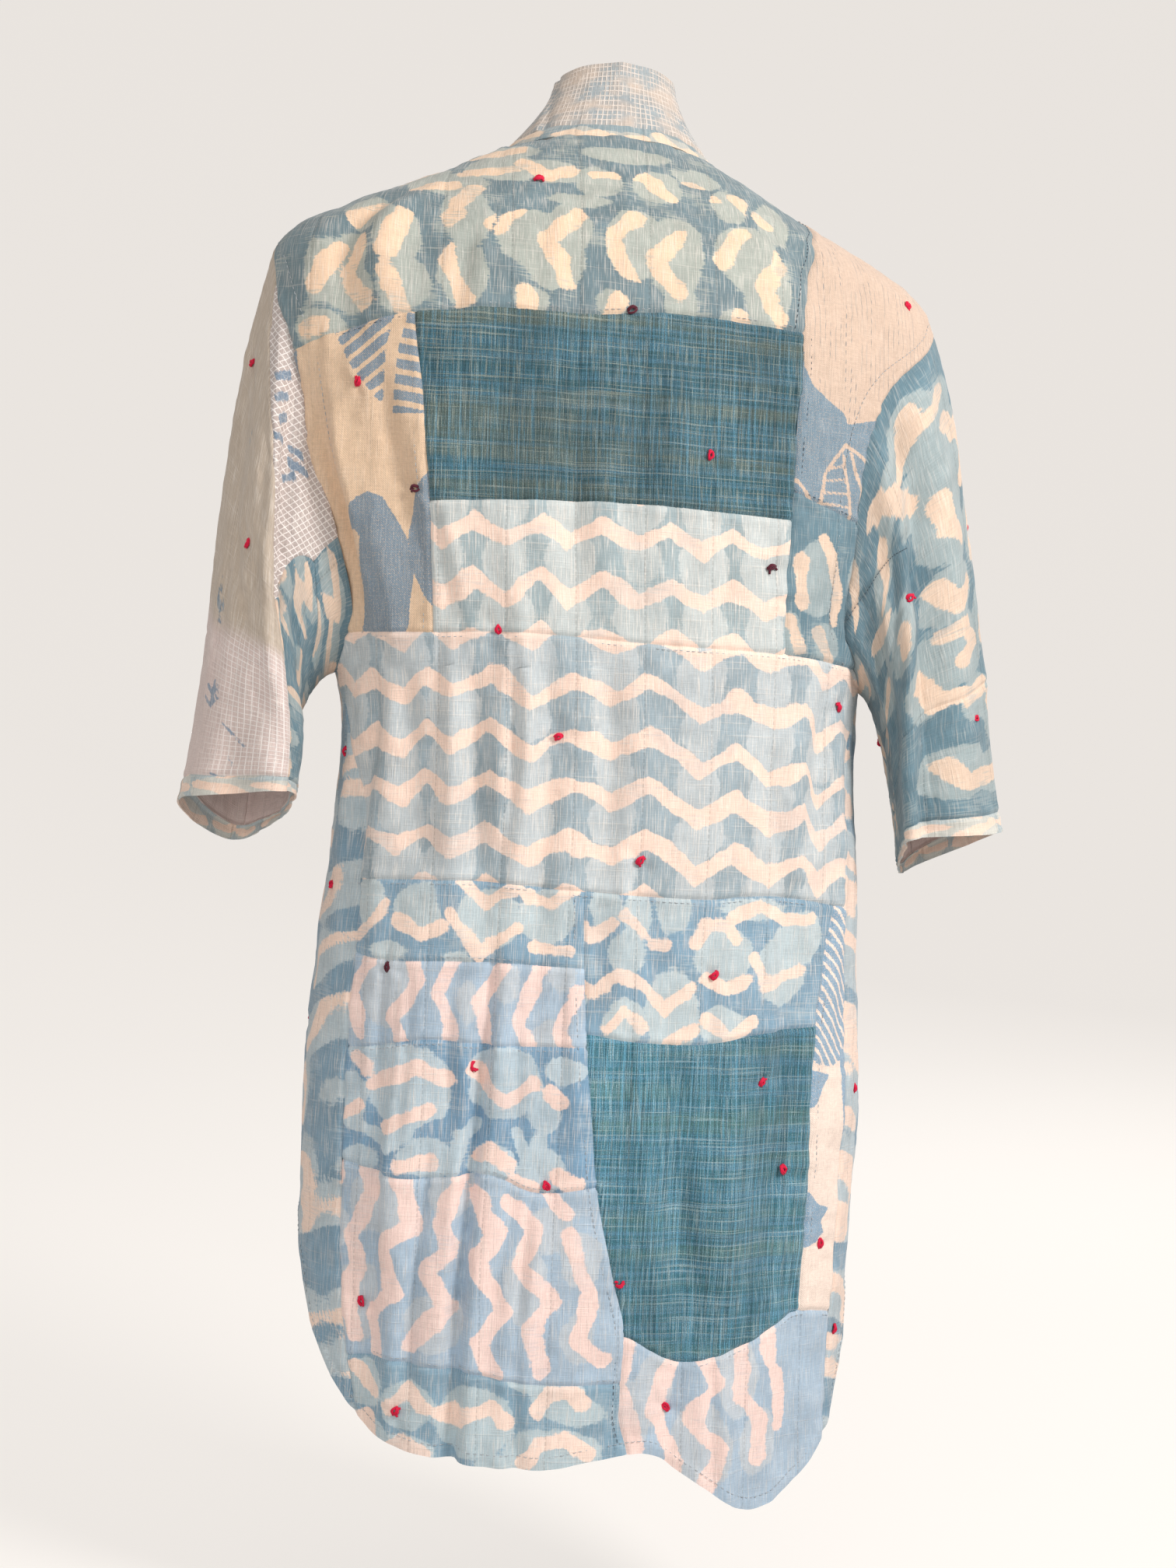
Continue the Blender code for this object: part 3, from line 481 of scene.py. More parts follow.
def corner(line, curve):
    """u and drop where a seam down meets a seam across."""
    drop = 0.5
    for _ in range(60):
        drop = 0.5 * drop + 0.5 * float(line_drop(curve, line_u(line, drop)))
    return float(line_u(line, drop)), drop


# ------------------------------------------------------- small unevenness
def wander(x, y, size, seed):
    """Smooth noise from -1 to 1 over x and y, with bumps about size apart."""
    table = np.random.default_rng(seed).uniform(-1, 1, (64, 64))
    x, y = np.broadcast_arrays(np.asarray(x, float) / size, np.asarray(y, float) / size)
    i, j = np.floor(x).astype(int), np.floor(y).astype(int)
    s, t = x - i, y - j
    s, t = s * s * (3 - 2 * s), t * t * (3 - 2 * t)
    top = table[i % 64, j % 64] * (1 - s) + table[(i + 1) % 64, j % 64] * s
    low = table[i % 64, (j + 1) % 64] * (1 - s) + table[(i + 1) % 64, (j + 1) % 64] * s
    return top * (1 - t) + low * t


def ease(value, low, high):
    t = np.clip((value - low) / (high - low), 0, 1)
    return t * t * (3 - 2 * t)


# ------------------------------------------------------------- creases
# Soft creases that the body's solids are too coarse for. A trough's depth is
# positive, a ridge's negative.
CREASES = (  # u_top, u_bottom, start, end, half_width, depth
    (0.318, 0.330, 0.700, 0.960, 0.0050, 0.0016),
    (0.292, 0.300, 0.720, 1.010, 0.0045, -0.0014),
    (0.248, 0.262, 0.860, 1.100, 0.0050, 0.0018),
    (0.220, 0.206, 0.740, 0.900, 0.0060, 0.0020),
    (0.130, 0.112, 0.690, 0.960, 0.0055, 0.0018),
    (0.092, 0.104, 0.880, 1.160, 0.0050, 0.0017),
    (0.060, 0.036, 0.700, 0.900, 0.0060, -0.0014),
    (-0.030, -0.020, 0.680, 0.860, 0.0060, 0.0014),
    (-0.148, -0.160, 0.690, 0.860, 0.0055, 0.0016),
    (-0.160, -0.178, 1.030, 1.200, 0.0055, 0.0018),
    (-0.240, -0.262, 0.640, 0.880, 0.0060, -0.0015),
    (0.246, 0.238, 0.280, 0.440, 0.0050, 0.0015),
    (0.196, 0.204, 0.100, 0.200, 0.0080, 0.0018),
    (0.084, 0.078, 0.080, 0.190, 0.0080, -0.0015),
    (0.352, 0.352, 0.240, 0.445, 0.0075, -0.0034),
    (0.382, 0.376, 0.250, 0.450, 0.0105, 0.0040),
    (0.148, 0.158, 0.445, 0.640, 0.0055, 0.0026),
    (0.236, 0.226, 0.450, 0.640, 0.0080, -0.0020),
    (0.300, 0.288, 0.470, 0.660, 0.0100, 0.0020),
    (-0.148, -0.140, 0.330, 0.450, 0.0100, 0.0016),
    (0.166, 0.212, 0.690, 1.200, 0.0060, 0.0034),
    (0.185, 0.228, 0.700, 1.120, 0.0090, -0.0026),
    (0.205, 0.190, 0.470, 0.700, 0.0110, 0.0036),
    (0.150, 0.140, 0.330, 0.620, 0.0120, -0.0024),
    (0.104, 0.112, 0.420, 0.900, 0.0090, 0.0020),
    (0.064, 0.052, 0.180, 0.470, 0.0120, 0.0026),
    (0.022, 0.018, 0.450, 0.660, 0.0130, 0.0034),
    (-0.004, -0.030, 0.560, 0.840, 0.0110, -0.0022),
    (-0.060, -0.052, 0.200, 0.420, 0.0140, -0.0020),
    (-0.094, -0.140, 0.800, 1.060, 0.0120, 0.0030),
    (-0.170, -0.190, 0.780, 1.040, 0.0150, -0.0028),
    (-0.228, -0.262, 0.500, 0.780, 0.0120, 0.0022),
    (-0.282, -0.250, 0.640, 1.000, 0.0130, 0.0026),
    (-0.128, -0.100, 1.030, 1.190, 0.0130, 0.0034),
    (-0.190, -0.200, 1.040, 1.190, 0.0110, -0.0030),
    (0.300, 0.262, 0.210, 0.430, 0.0110, 0.0026),
    (0.336, 0.318, 0.240, 0.470, 0.0090, -0.0022),
    (0.300, 0.330, 0.880, 1.130, 0.0100, 0.0026),
    (0.262, 0.286, 0.720, 1.000, 0.0110, -0.0018),
    (0.120, 0.160, 0.910, 1.080, 0.0080, 0.0018),
    (0.070, 0.110, 0.930, 1.120, 0.0090, -0.0022),
    (0.360, 0.392, 0.470, 0.640, 0.0100, 0.0034),
    (0.420, 0.372, 0.500, 0.760, 0.0100, 0.0030),
    (-0.330, -0.310, 0.470, 0.620, 0.0100, 0.0024),
    (-0.376, -0.352, 0.480, 0.800, 0.0090, -0.0020),
    (0.330, 0.276, 0.060, 0.190, 0.0150, -0.0030),
    (0.372, 0.330, 0.070, 0.210, 0.0130, 0.0030),
    (-0.250, -0.236, 0.060, 0.150, 0.0140, 0.0016),
    (0.700, 0.690, 0.180, 0.560, 0.0150, 0.0040),
    (0.760, 0.740, 0.300, 0.820, 0.0120, -0.0026),
    (0.800, 0.812, 0.520, 1.060, 0.0110, 0.0034),
    (0.900, 0.880, 0.140, 0.480, 0.0140, 0.0026),
    (0.930, 0.915, 0.620, 1.020, 0.0120, -0.0030),
    (0.660, 0.602, 0.480, 0.760, 0.0120, 0.0032),
    (0.560, 0.580, 0.640, 1.020, 0.0120, 0.0030),
    (-0.690, -0.700, 0.190, 0.500, 0.0150, 0.0036),
    (-0.750, -0.770, 0.280, 0.760, 0.0130, -0.0030),
    (-0.812, -0.790, 0.560, 1.060, 0.0120, 0.0034),
    (-0.890, -0.905, 0.160, 0.560, 0.0130, 0.0028),
    (-0.940, -0.920, 0.660, 1.040, 0.0120, -0.0028),
    (-0.640, -0.590, 0.470, 0.790, 0.0120, 0.0030),
    (-0.550, -0.575, 0.620, 1.000, 0.0110, 0.0032),
)
# Creases that run down a sleeve, from the armhole's end (0) to the cuff (1).
SLEEVE_CREASES = {  # turn at the start and at the end, start, end, half_width, depth
    1: (
        (70, 82, 0.16, 1.05, 0.0065, -0.0048),
        (40, 66, -0.10, 0.24, 0.0060, -0.0030),
        (92, 100, 0.10, 1.05, 0.0130, 0.0085),
        (60, 84, -0.12, 0.22, 0.0110, 0.0080),
        (40, 30, 0.05, 0.95, 0.0170, 0.0032),
        (46, 62, 0.30, 1.10, 0.0070, 0.0030),
        (20, 34, 0.46, 1.00, 0.0090, -0.0030),
        (12, 2, 0.10, 0.70, 0.0140, -0.0024),
        (34, 56, 0.44, 0.66, 0.0060, 0.0032),
        (66, 50, 0.44, 0.70, 0.0050, 0.0028),
        (72, 58, 0.62, 0.94, 0.0055, 0.0026),
        (12, 26, 0.10, 0.44, 0.0100, 0.0026),
        (110, 128, 0.10, 0.70, 0.0100, 0.0042),
        (130, 112, 0.30, 0.95, 0.0090, -0.0034),
        (152, 140, 0.05, 0.55, 0.0110, 0.0044),
        (196, 204, 0.06, 0.60, 0.0120, 0.0040),
        (232, 240, 0.02, 0.80, 0.0120, 0.0040),
        (260, 252, 0.20, 1.00, 0.0110, -0.0036),
        (300, 310, 0.30, 1.00, 0.0140, 0.0036),
        (334, 326, 0.05, 0.60, 0.0130, 0.0030),
    ),
    -1: (
        (62, 82, -0.20, 1.05, 0.0110, 0.0090),
        (46, 66, -0.10, 1.05, 0.0110, -0.0044),
        (30, 44, 0.08, 0.80, 0.0120, 0.0026),
        (28, 22, 0.40, 1.05, 0.0110, -0.0024),
        (12, 18, 0.10, 0.90, 0.0120, 0.0022),
        (86, 100, 0.30, 1.05, 0.0080, -0.0030),
        (102, 90, 0.02, 0.40, 0.0100, 0.0036),
        (120, 108, 0.05, 0.62, 0.0090, -0.0030),
        (140, 120, 0.10, 0.72, 0.0100, 0.0040),
        (165, 150, 0.05, 0.60, 0.0110, 0.0040),
        (200, 206, 0.06, 0.60, 0.0120, 0.0040),
        (236, 246, 0.02, 0.80, 0.0120, 0.0040),
        (262, 250, 0.20, 1.00, 0.0110, -0.0034),
        (306, 312, 0.30, 1.00, 0.0140, 0.0034),
        (336, 330, 0.05, 0.60, 0.0130, 0.0030),
    ),
}


def crease_push(rows, place, along, length, seed, wobble):
    """Outward push of the creases: place(centre) gives the distance across the
    cloth from a crease's line, in metres."""
    total = np.zeros(np.shape(along))
    for k, (at_start, at_end, start, end, half_width, depth) in enumerate(rows):
        share = (along - start) / (end - start)
        run = np.clip(share, 0, 1)
        grown = np.sin(math.pi * np.clip(share, 0, 1)) ** 0.7
        if end > length:
            grown = np.where(share > 0.35, np.maximum(grown, ease(share, 0.0, 0.35)), grown)
        if start < 0.0:
            grown = np.where(share < 0.5, 1.0, grown)
        bend = wobble * wander(along, 0.0, 0.13, seed + k)
        across = place(at_start + (at_end - at_start) * run) + bend
        x = across / (half_width * (0.75 + 0.6 * run))
        shape = np.exp(-x * x) - 0.30 * np.exp(-((np.abs(x) - 2.1) ** 2))
        total -= depth * grown * (1 + 0.25 * wander(along, k, 0.07, seed)) * shape
    return total


# Knots of thread that hold the layers together: where, shade and turn.
BODY_KNOTS = (  # u, drop, dark, angle
    (0.164, 0.054, 0, 10), (-0.008, 0.164, 1, 20), (0.322, 0.238, 0, 75), (0.262, 0.324, 1, 15),
    (-0.112, 0.282, 0, 60), (-0.404, 0.118, 0, 40), (-0.206, 0.374, 1, 30), (0.168, 0.438, 0, 85),
    (-0.356, 0.490, 0, 95), (0.088, 0.526, 0, 20), (0.446, 0.544, 0, 80), (-0.034, 0.628, 0, 50),
    (0.452, 0.660, 0, 30), (0.316, 0.726, 1, 80), (-0.150, 0.724, 0, 60), (0.184, 0.806, 0, 110),
    (-0.230, 0.816, 0, 70), (-0.430, 0.828, 0, 60), (-0.272, 0.892, 0, 120), (0.076, 0.904, 0, 100),
    (-0.352, 0.960, 0, 95), (-0.034, 0.986, 0, 15), (0.338, 1.012, 0, 95), (-0.404, 1.040, 0, 60),
    (0.278, 1.100, 0, 70), (-0.108, 1.092, 0, 150),
    (0.600, 0.560, 0, 30), (0.640, 0.860, 0, 70), (0.720, 0.180, 0, 20), (0.780, 0.420, 0, 95),
    (0.840, 0.700, 0, 40), (0.760, 0.980, 0, 120), (0.900, 0.300, 1, 60), (0.930, 0.900, 0, 15),
    (0.620, 0.300, 0, 80), (0.680, 0.640, 1, 130), (0.540, 0.780, 0, 20), (0.870, 0.120, 0, 50),
    (-0.620, 0.250, 0, 40), (-0.700, 0.150, 0, 70), (-0.760, 0.480, 0, 100), (-0.820, 0.280, 1, 20),
    (-0.880, 0.620, 0, 80), (-0.640, 0.700, 0, 30), (-0.720, 0.880, 0, 140), (-0.900, 0.940, 0, 60),
    (-0.560, 0.900, 0, 10), (-0.560, 0.600, 0, 90), (-0.800, 0.780, 0, 45),
)
SLEEVE_KNOTS = {  # turn, run, dark, angle
    1: ((52, 0.48, 0, 70), (20, 0.22, 0, 20), (300, 0.30, 0, 50), (330, 0.74, 0, 90), (230, 0.55, 0, 15), (345, 0.48, 1, 60)),
    -1: ((84, 0.40, 0, 40), (46, 0.75, 0, 10), (10, 0.44, 0, 80), (320, 0.30, 0, 30), (292, 0.72, 0, 110), (220, 0.50, 0, 60)),
}


def knot_dent(distances):
    """Cloth pulled in round each knot, with short rays. distances are (across,
    down) in metres from each knot."""
    total = 0.0
    for k, (x, y) in enumerate(distances):
        r = np.hypot(x, y)
        near = r < 0.06
        turn = np.arctan2(y, x)
        rays = 0.0007 * np.cos(4 * turn + 1.7 * k) * np.exp(-((r - 0.010) / 0.013) ** 2)
        total = total + np.where(near, -0.0016 * np.exp(-((r / 0.0085) ** 2)) + rays, 0.0)
    return total


def body_relief(u, drop):
    """Everything that lifts or sinks the body's cloth, but for its seams."""
    girth = half_girth(drop)
    a, d = u * girth, way(drop)
    total = 2.3 * crease_push(CREASES, lambda centre: (u - centre) * girth, drop, 1.15, 100, 0.005)
    total = total + 0.0012 * wander(a, 0.4 * d, 0.055, 7) + 0.0010 * wander(a, d, 0.030, 8)
    total = total + 0.0008 * wander(a, 0.3 * d, 0.011, 9) + 0.0004 * wander(a, d, 0.007, 10)
    flare = ease(drop, hem_drop(u) - 0.10, hem_drop(u))
    total = total + 0.0022 * flare * wander(a, 0.0, 0.042, 11)
    dents = [((u - ku) * girth, d - way(kd)) for ku, kd, _, _ in BODY_KNOTS]
    return total + knot_dent(dents)


def body_seams(u, drop, right, left, top, bottom):
    """Valleys, puckers and turned hems along a piece's four edges."""
    girth = half_girth(drop)
    length = way(drop)
    total = np.zeros(u.shape)
    for name in (top, bottom):
        off = np.abs(length - way(line_drop(name, u)))
        along = u * girth
        total += edge_relief(name, off, along, drop)
    for name in (right, left):
        off = np.abs(u - line_u(name, drop)) * girth
        total += edge_relief(name, off, length, drop)
    return total


def edge_relief(name, off, along, drop):
    seed = sum(map(ord, name.replace("back_", "").replace("front_", "")))
    if name == "hem" or name.startswith("front_edge"):
        width = 0.012 if name == "hem" else 0.016
        turned = 0.0009 * (1 - ease(off, width - 0.001, width + 0.001))
        groove = -0.0006 * np.exp(-(((off - width + 0.0012) / 0.0011) ** 2))
        pucker = 0.0008 * wander(along, 0.0, 0.006, seed) * np.exp(-(((off - width) / 0.008) ** 2))
        return turned + groove + pucker
    if name == "yoke_run":
        valley = -0.0012 * np.exp(-((off / 0.0022) ** 2))
        return np.where(drop < 0.036, 0.5 * valley, valley)
    valley = -0.0013 * np.exp(-((off / 0.0020) ** 2))
    lip = 0.0006 * np.exp(-(((off - 0.0045) / 0.0030) ** 2))
    strength = 0.6 + 0.9 * np.abs(wander(along, 0.0, 0.055, seed + 3))
    pucker = 0.0010 * strength * wander(along, 0.0, 0.0075, seed) * np.exp(-off / 0.014)
    wide = 0.0012 * strength * wander(along, 0.0, 0.021, seed + 1) * np.exp(-off / 0.030)
    total = valley + lip + pucker + wide
    if name in ("back_left", "back_right", "front_left", "front_right"):
        felled = 0.0007 * (1 - ease(off, 0.0085, 0.0100)) - 0.0004 * np.exp(-(((off - 0.0082) / 0.001) ** 2))
        total = total + np.where(drop < 0.472, felled, 0.0)
    return total


# -------------------------------------------------------------- shells
THREAD = 0.0032  # mesh cell of a fine shell
EDGE = (0.0, 0.0009, 0.0020, 0.0034, 0.0052, 0.0076)  # and nearer the seams


def shares(length, cell):
    """Shares from 0 to 1 along an edge of that length, closer at both ends."""
    edge = np.array(EDGE)
    edge = edge[edge < 0.3 * length]
    inner = max(1, math.ceil((length - 2 * edge[-1]) / cell))
    middle = np.linspace(edge[-1], length - edge[-1], inner + 1)
    return np.concatenate([edge[:-1], middle, (length - edge[:-1])[::-1]]) / length


def body_grid(right, left, top, bottom, cell):
    """u and drop of a piece's points: rows down it, columns from right to left."""
    ends = [corner(line, curve) for curve in (top, bottom) for line in (right, left)]
    (tr_u, tr_d), (tl_u, tl_d), (br_u, br_d), (bl_u, bl_d) = ends
    wide = max((tl_u - tr_u) * half_girth((tl_d + tr_d) / 2), (bl_u - br_u) * half_girth((bl_d + br_d) / 2))
    long = max(way(br_d) - way(tr_d), way(bl_d) - way(tl_d))
    s, r = shares(wide, cell), shares(long, cell)

    def across(curve, near, far):
        u = near + (far - near) * s
        return np.stack([u, way(line_drop(curve, u))], -1)

    def down(line, high, low):
        length = way(high) + (way(low) - way(high)) * r
        return np.stack([line_u(line, at_way(length)), length], -1)

    upper, lower = across(top, tr_u, tl_u)[None], across(bottom, br_u, bl_u)[None]
    first, last = down(right, tr_d, br_d)[:, None], down(left, tl_d, bl_d)[:, None]
    s, r = np.meshgrid(s, r)
    s, r = s[..., None], r[..., None]
    points = (1 - r) * upper + r * lower + (1 - s) * first + s * last
    points -= (1 - r) * ((1 - s) * upper[:, :1] + s * upper[:, -1:])
    points -= r * ((1 - s) * lower[:, :1] + s * lower[:, -1:])
    return points[..., 0], at_way(points[..., 1])


def facing(surface, a, b, outward, e=0.0015):
    n = np.cross(surface(a + e, b) - surface(a - e, b), surface(a, b + e) - surface(a, b - e))
    return n / np.linalg.norm(n, axis=-1, keepdims=True) * outward


def grid_facing(points, like, ring):
    """Normals of a grid of points, on the same side as like."""
    if ring:
        da = np.roll(points, -1, 1) - np.roll(points, 1, 1)
    else:
        da = np.gradient(points, axis=1)
    n = np.cross(da, np.gradient(points, axis=0))
    size = np.linalg.norm(n, axis=-1, keepdims=True)
    n = np.where(size > 1e-12, n / np.maximum(size, 1e-12), like)
    return n * np.sign((n * like).sum(-1, keepdims=True) + 1e-12)


def shell(name, middle, like, ring, flat, fields):
    """One closed thin shell round a grid of points, with its flat place as UVs
    and the print's fields as point values."""
    n = grid_facing(middle, like, ring)
    outer, inner = middle + n * WALL / 2, middle - n * WALL / 2
    rows, cols = middle.shape[:2]
    count = rows * cols
    points = np.concatenate([outer.reshape(-1, 3), inner.reshape(-1, 3)])
    i, j = np.meshgrid(np.arange(rows - 1), np.arange(cols if ring else cols - 1), indexing="ij")
    a, b = i * cols + j, (i + 1) * cols + j
    c, d = (i + 1) * cols + (j + 1) % cols, i * cols + (j + 1) % cols
    top = np.stack([a, b, c, d], -1).reshape(-1, 4)
    quads = [top, top[:, ::-1] + count]
    k = np.arange(cols if ring else cols - 1)
    for row, turn in ((0, 1), (rows - 1, -1)):
        p, q = row * cols + k, row * cols + (k + 1) % cols
        quads.append(np.stack([p, q, q + count, p + count], -1)[:, ::turn])
    if not ring:
        k = np.arange(rows - 1)
        for col, turn in ((0, -1), (cols - 1, 1)):
            p, q = k * cols + col, (k + 1) * cols + col
            quads.append(np.stack([p, q, q + count, p + count], -1)[:, ::turn])
    quads = np.concatenate(quads)
    v0, v1, v2 = points[quads[0, 0]], points[quads[0, 1]], points[quads[0, 2]]
    mid = quads[len(top) // 2]
    face = np.cross(points[mid[1]] - points[mid[0]], points[mid[2]] - points[mid[0]])
    if face @ like.reshape(-1, 3)[mid[0]] < 0:
        quads = quads[:, ::-1]
    mesh = bpy.data.meshes.new(name)
    mesh.vertices.add(len(points))
    mesh.vertices.foreach_set("co", points.astype(np.float32).ravel())
    mesh.loops.add(4 * len(quads))
    mesh.loops.foreach_set("vertex_index", quads.astype(np.int32).ravel())
    mesh.polygons.add(len(quads))
    mesh.polygons.foreach_set("loop_start", np.arange(0, 4 * len(quads), 4, dtype=np.int32))
    mesh.polygons.foreach_set("loop_total", np.full(len(quads), 4, np.int32))
    mesh.update(calc_edges=True)
    mesh.validate()
    uv = mesh.uv_layers.new(name="cloth")
    places = np.stack([np.concatenate([flat[0].ravel()] * 2), np.concatenate([flat[1].ravel()] * 2)], -1)
    uv.data.foreach_set("uv", places[quads.ravel()].astype(np.float32).ravel())
    for field, values in fields.items():
        store = mesh.attributes.new(field, "FLOAT", "POINT")
        store.data.foreach_set("value", np.concatenate([values.ravel()] * 2).astype(np.float32))
    side = mesh.attributes.new("inside", "FLOAT", "POINT")
    side.data.foreach_set("value", np.repeat([0.0, 1.0], count).astype(np.float32))
    mesh.shade_smooth()
    mesh.set_sharp_from_angle(angle=math.radians(60))
    obj = bpy.data.objects.new(name, mesh)
    bpy.context.scene.collection.objects.link(obj)
    return obj


# ------------------------------------------------------------ pieces
BODY_COLUMNS = ("name", "right", "left", "top", "bottom", "cloth")
BODY_PIECES = (
    ("back_yoke", "yoke_run", "back_left", "neck", "yoke", "print"),
    ("back_leaf_right", "back_right", "leaf_edge", "leaf_right_top", "leaf_right_bottom", "leaf"),
    ("back_side_right", "back_right", "teal_right", "leaf_right_bottom", "chest", "print"),
    ("back_teal_upper", "teal_right", "teal_left", "yoke", "teal_bottom", "teal"),
    ("back_chevron_upper", "teal_right", "teal_left", "teal_bottom", "chest", "chevron"),
    ("back_leaf_left", "teal_left", "back_left", "yoke", "chest", "twill"),
    ("back_chevron_lower", "back_right", "back_left", "chest", "waist", "chevron"),
    ("back_band_left", "middle", "back_left", "waist", "band_left_bottom", "print"),
    ("back_zigzag_left", "middle", "back_left", "band_left_bottom", "zigzag_bottom", "zigzag"),
    ("back_print_left", "middle", "back_left", "zigzag_bottom", "print_bottom", "print"),
    ("back_zigzag_low", "middle", "back_left", "print_bottom", "low_bottom", "zigzag"),
    ("back_hem_left", "middle", "back_left", "low_bottom", "hem", "print"),
    ("back_band_right", "strip", "middle", "waist", "band_right_bottom", "print"),
    ("back_teal_lower", "strip", "middle", "band_right_bottom", "teal_low_bottom", "teal"),
    ("back_strip_right", "back_right", "strip", "waist", "teal_low_bottom", "leaf"),
    ("back_hem_right", "back_right", "middle", "teal_low_bottom", "hem", "zigzag"),
    ("front_left", "front_left", "front_edge_left", "neck", "hem", "print"),
    ("front_right", "front_edge_right", "front_right", "neck", "hem", "print"),
)
# Sleeve pieces: the turns and the shares of the length between which they lie.
SLEEVE_COLUMNS = ("name", "side", "from", "to", "start", "end", "cloth")
SLEEVE_PIECES = (
    ("sleeve_left_upper", 1, -105, 75, 0.0, 0.7, "slub"),
    ("sleeve_left_lower", 1, -105, 75, 0.7, SLEEVE_HEM, "grid"),
    ("sleeve_left_back", 1, 75, 120, 0.0, 0.4, "grid"),
    ("sleeve_left_under", 1, 120, 255, 0.0, 0.4, "print"),
    ("sleeve_left_low", 1, 75, 255, 0.4, SLEEVE_HEM, "print"),
    ("sleeve_left_hem", 1, 0, 360, SLEEVE_HEM, 1.0, "print"),
    ("sleeve_right_upper", -1, -105, 75, 0.0, 0.7, "print"),
    ("sleeve_right_lower", -1, -105, 75, 0.7, SLEEVE_HEM, "print"),
    ("sleeve_right_under", -1, 75, 255, 0.0, 0.7, "print"),
    ("sleeve_right_low", -1, 75, 255, 0.7, SLEEVE_HEM, "print"),
    ("sleeve_right_hem", -1, 0, 360, SLEEVE_HEM, 1.0, "print"),
)


# -------------------------------------------------------------- prints
# A print is drawn in millimetres over the flat cloth: x from the back's centre
# to the wearer's left, y down from the nape. Every field is how far a point
# lies inside a shape, and below 0 outside it.
def off_path(x, y, points):
    best = np.full(np.shape(x), 400.0)
    for (ax, ay), (bx, by) in zip(points[:-1], points[1:]):
        ux, uy = bx - ax, by - ay
        t = np.clip(((x - ax) * ux + (y - ay) * uy) / (ux * ux + uy * uy + 1e-9), 0, 1)
        best = np.minimum(best, np.hypot(x - ax - t * ux, y - ay - t * uy))
    return best


def strokes(x, y, rows, width):
    total = np.full(np.shape(x), -60.0)
    for k, points in enumerate(rows):
        wide = width * (1 + 0.30 * wander(x, y, 15.0, 31 + k))
        total = np.maximum(total, wide / 2 - off_path(x, y, points))
    return total


def drops(x, y, rows):
    total = np.full(np.shape(x), -60.0)
    for cx, cy, rx, ry in rows:
        total = np.maximum(total, (1 - np.hypot((x - cx) / rx, (y - cy) / ry)) * min(rx, ry))
    return total


def inside(x, y, corners):
    corners = list(corners)
    odd = np.zeros(np.shape(x), bool)
    for (ax, ay), (bx, by) in zip(corners, corners[1:] + corners[:1]):
        odd ^= ((ay > y) != (by > y)) & (x < (bx - ax) * (y - ay) / (by - ay + 1e-9) + ax)
    far = off_path(x, y, corners + corners[:1])
    return np.where(odd, far, -far)


def steps(x, rows):
    """Height at x of a run of straight strokes, with its corners rounded."""
    xs, ys = (np.array(sorted(rows), float)[:, k] for k in (0, 1))
    return sum(np.interp(x + shift, xs, ys) for shift in (-1.2, 1.2)) / 2


# Chevron cloth: a row rises and falls by these steps, its right block lower.
CHEVRON_STEPS = (  # x, rise
    (260, 6), (245, -8), (220, 5), (187, -9), (166, 10), (142, -6), (110, 12), (76, -8), (42, 10),
    (5, -8), (-24, 10), (-69, -20), (-103, -1), (-135, -23), (-170, -10), (-188, -34), (-215, -15), (-245, -34),
)
CHEVRON_ROWS = (506, 549, 594, 640, 682, 728, 772, 812)
UPPER_STEPS = (
    (200, -6), (176, 8), (152, -10), (124, 9), (98, -9), (68, 10), (44, -9), (16, 10), (-16, -6), (-42, 8),
    (-70, -10), (-96, 8), (-126, -10), (-156, 4), (-190, -8),
)
UPPER_ROWS = (420, 464, 512, 556)


def chevrons(x, y, rows, run, width):
    rise = steps(x, run)
    drift = 3.0 * wander(x, y, 60.0, 3) + 1.2 * wander(x, y, 24.0, 6)
    ribbon = np.full(np.shape(x), -60.0)
    blob = np.full(np.shape(x), -60.0)
    turns = [step for k, step in enumerate(run) if k % 2 == 1] if run[0][1] > 0 else [step for k, step in enumerate(run) if k % 2 == 0]
    for k, row in enumerate(rows):
        wide = width * (1.04 + 0.34 * wander(x, row, 17.0, 40 + k))
        lift = (1.0 + 0.30 * wander(x, row, 70.0, 80 + k)) * rise
        ribbon = np.maximum(ribbon, wide / 2 - np.abs(y - row + lift + drift))
        under = [(cx, row - low + 13, 20 + 3 * math.sin(cx + 2 * k), 25 + 4 * math.cos(cx + k)) for cx, low in turns]
        blob = np.maximum(blob, drops(x, y + drift, under))
    return ribbon, blob


# Drops near the shoulder are long, for the cloth there tilts away.
YOKE_DROPS = (
    (235, 234, 14, 19), (194, 218, 19, 23), (135, 188, 20, 36), (236, 266, 20, 18), (188, 262, 21, 20),
    (138, 250, 20, 26), (83, 206, 25, 30), (48, 193, 17, 30), (59, 232, 24, 24), (24, 114, 18, 24),
    (-28, 112, 22, 25), (-8, 200, 24, 38), (-42, 208, 24, 42), (-93, 124, 15, 28), (-106, 200, 26, 36),
    (-124, 236, 20, 32), (-49, 262, 12, 18), (80, 268, 13, 10), (-98, 268, 13, 11), (104, 98, 34, 26),
    (64, 100, 24, 20), (156, 134, 34, 24), (-134, 145, 15, 36), (12, 264, 12, 9), (222, 186, 20, 22),
    (-2, 62, 34, 12), (-66, 82, 20, 14), (262, 250, 16, 26), (262, 300, 20, 14), (40, 150, 22, 9), (118, 60, 40, 16), (190, 110, 34, 20),
)
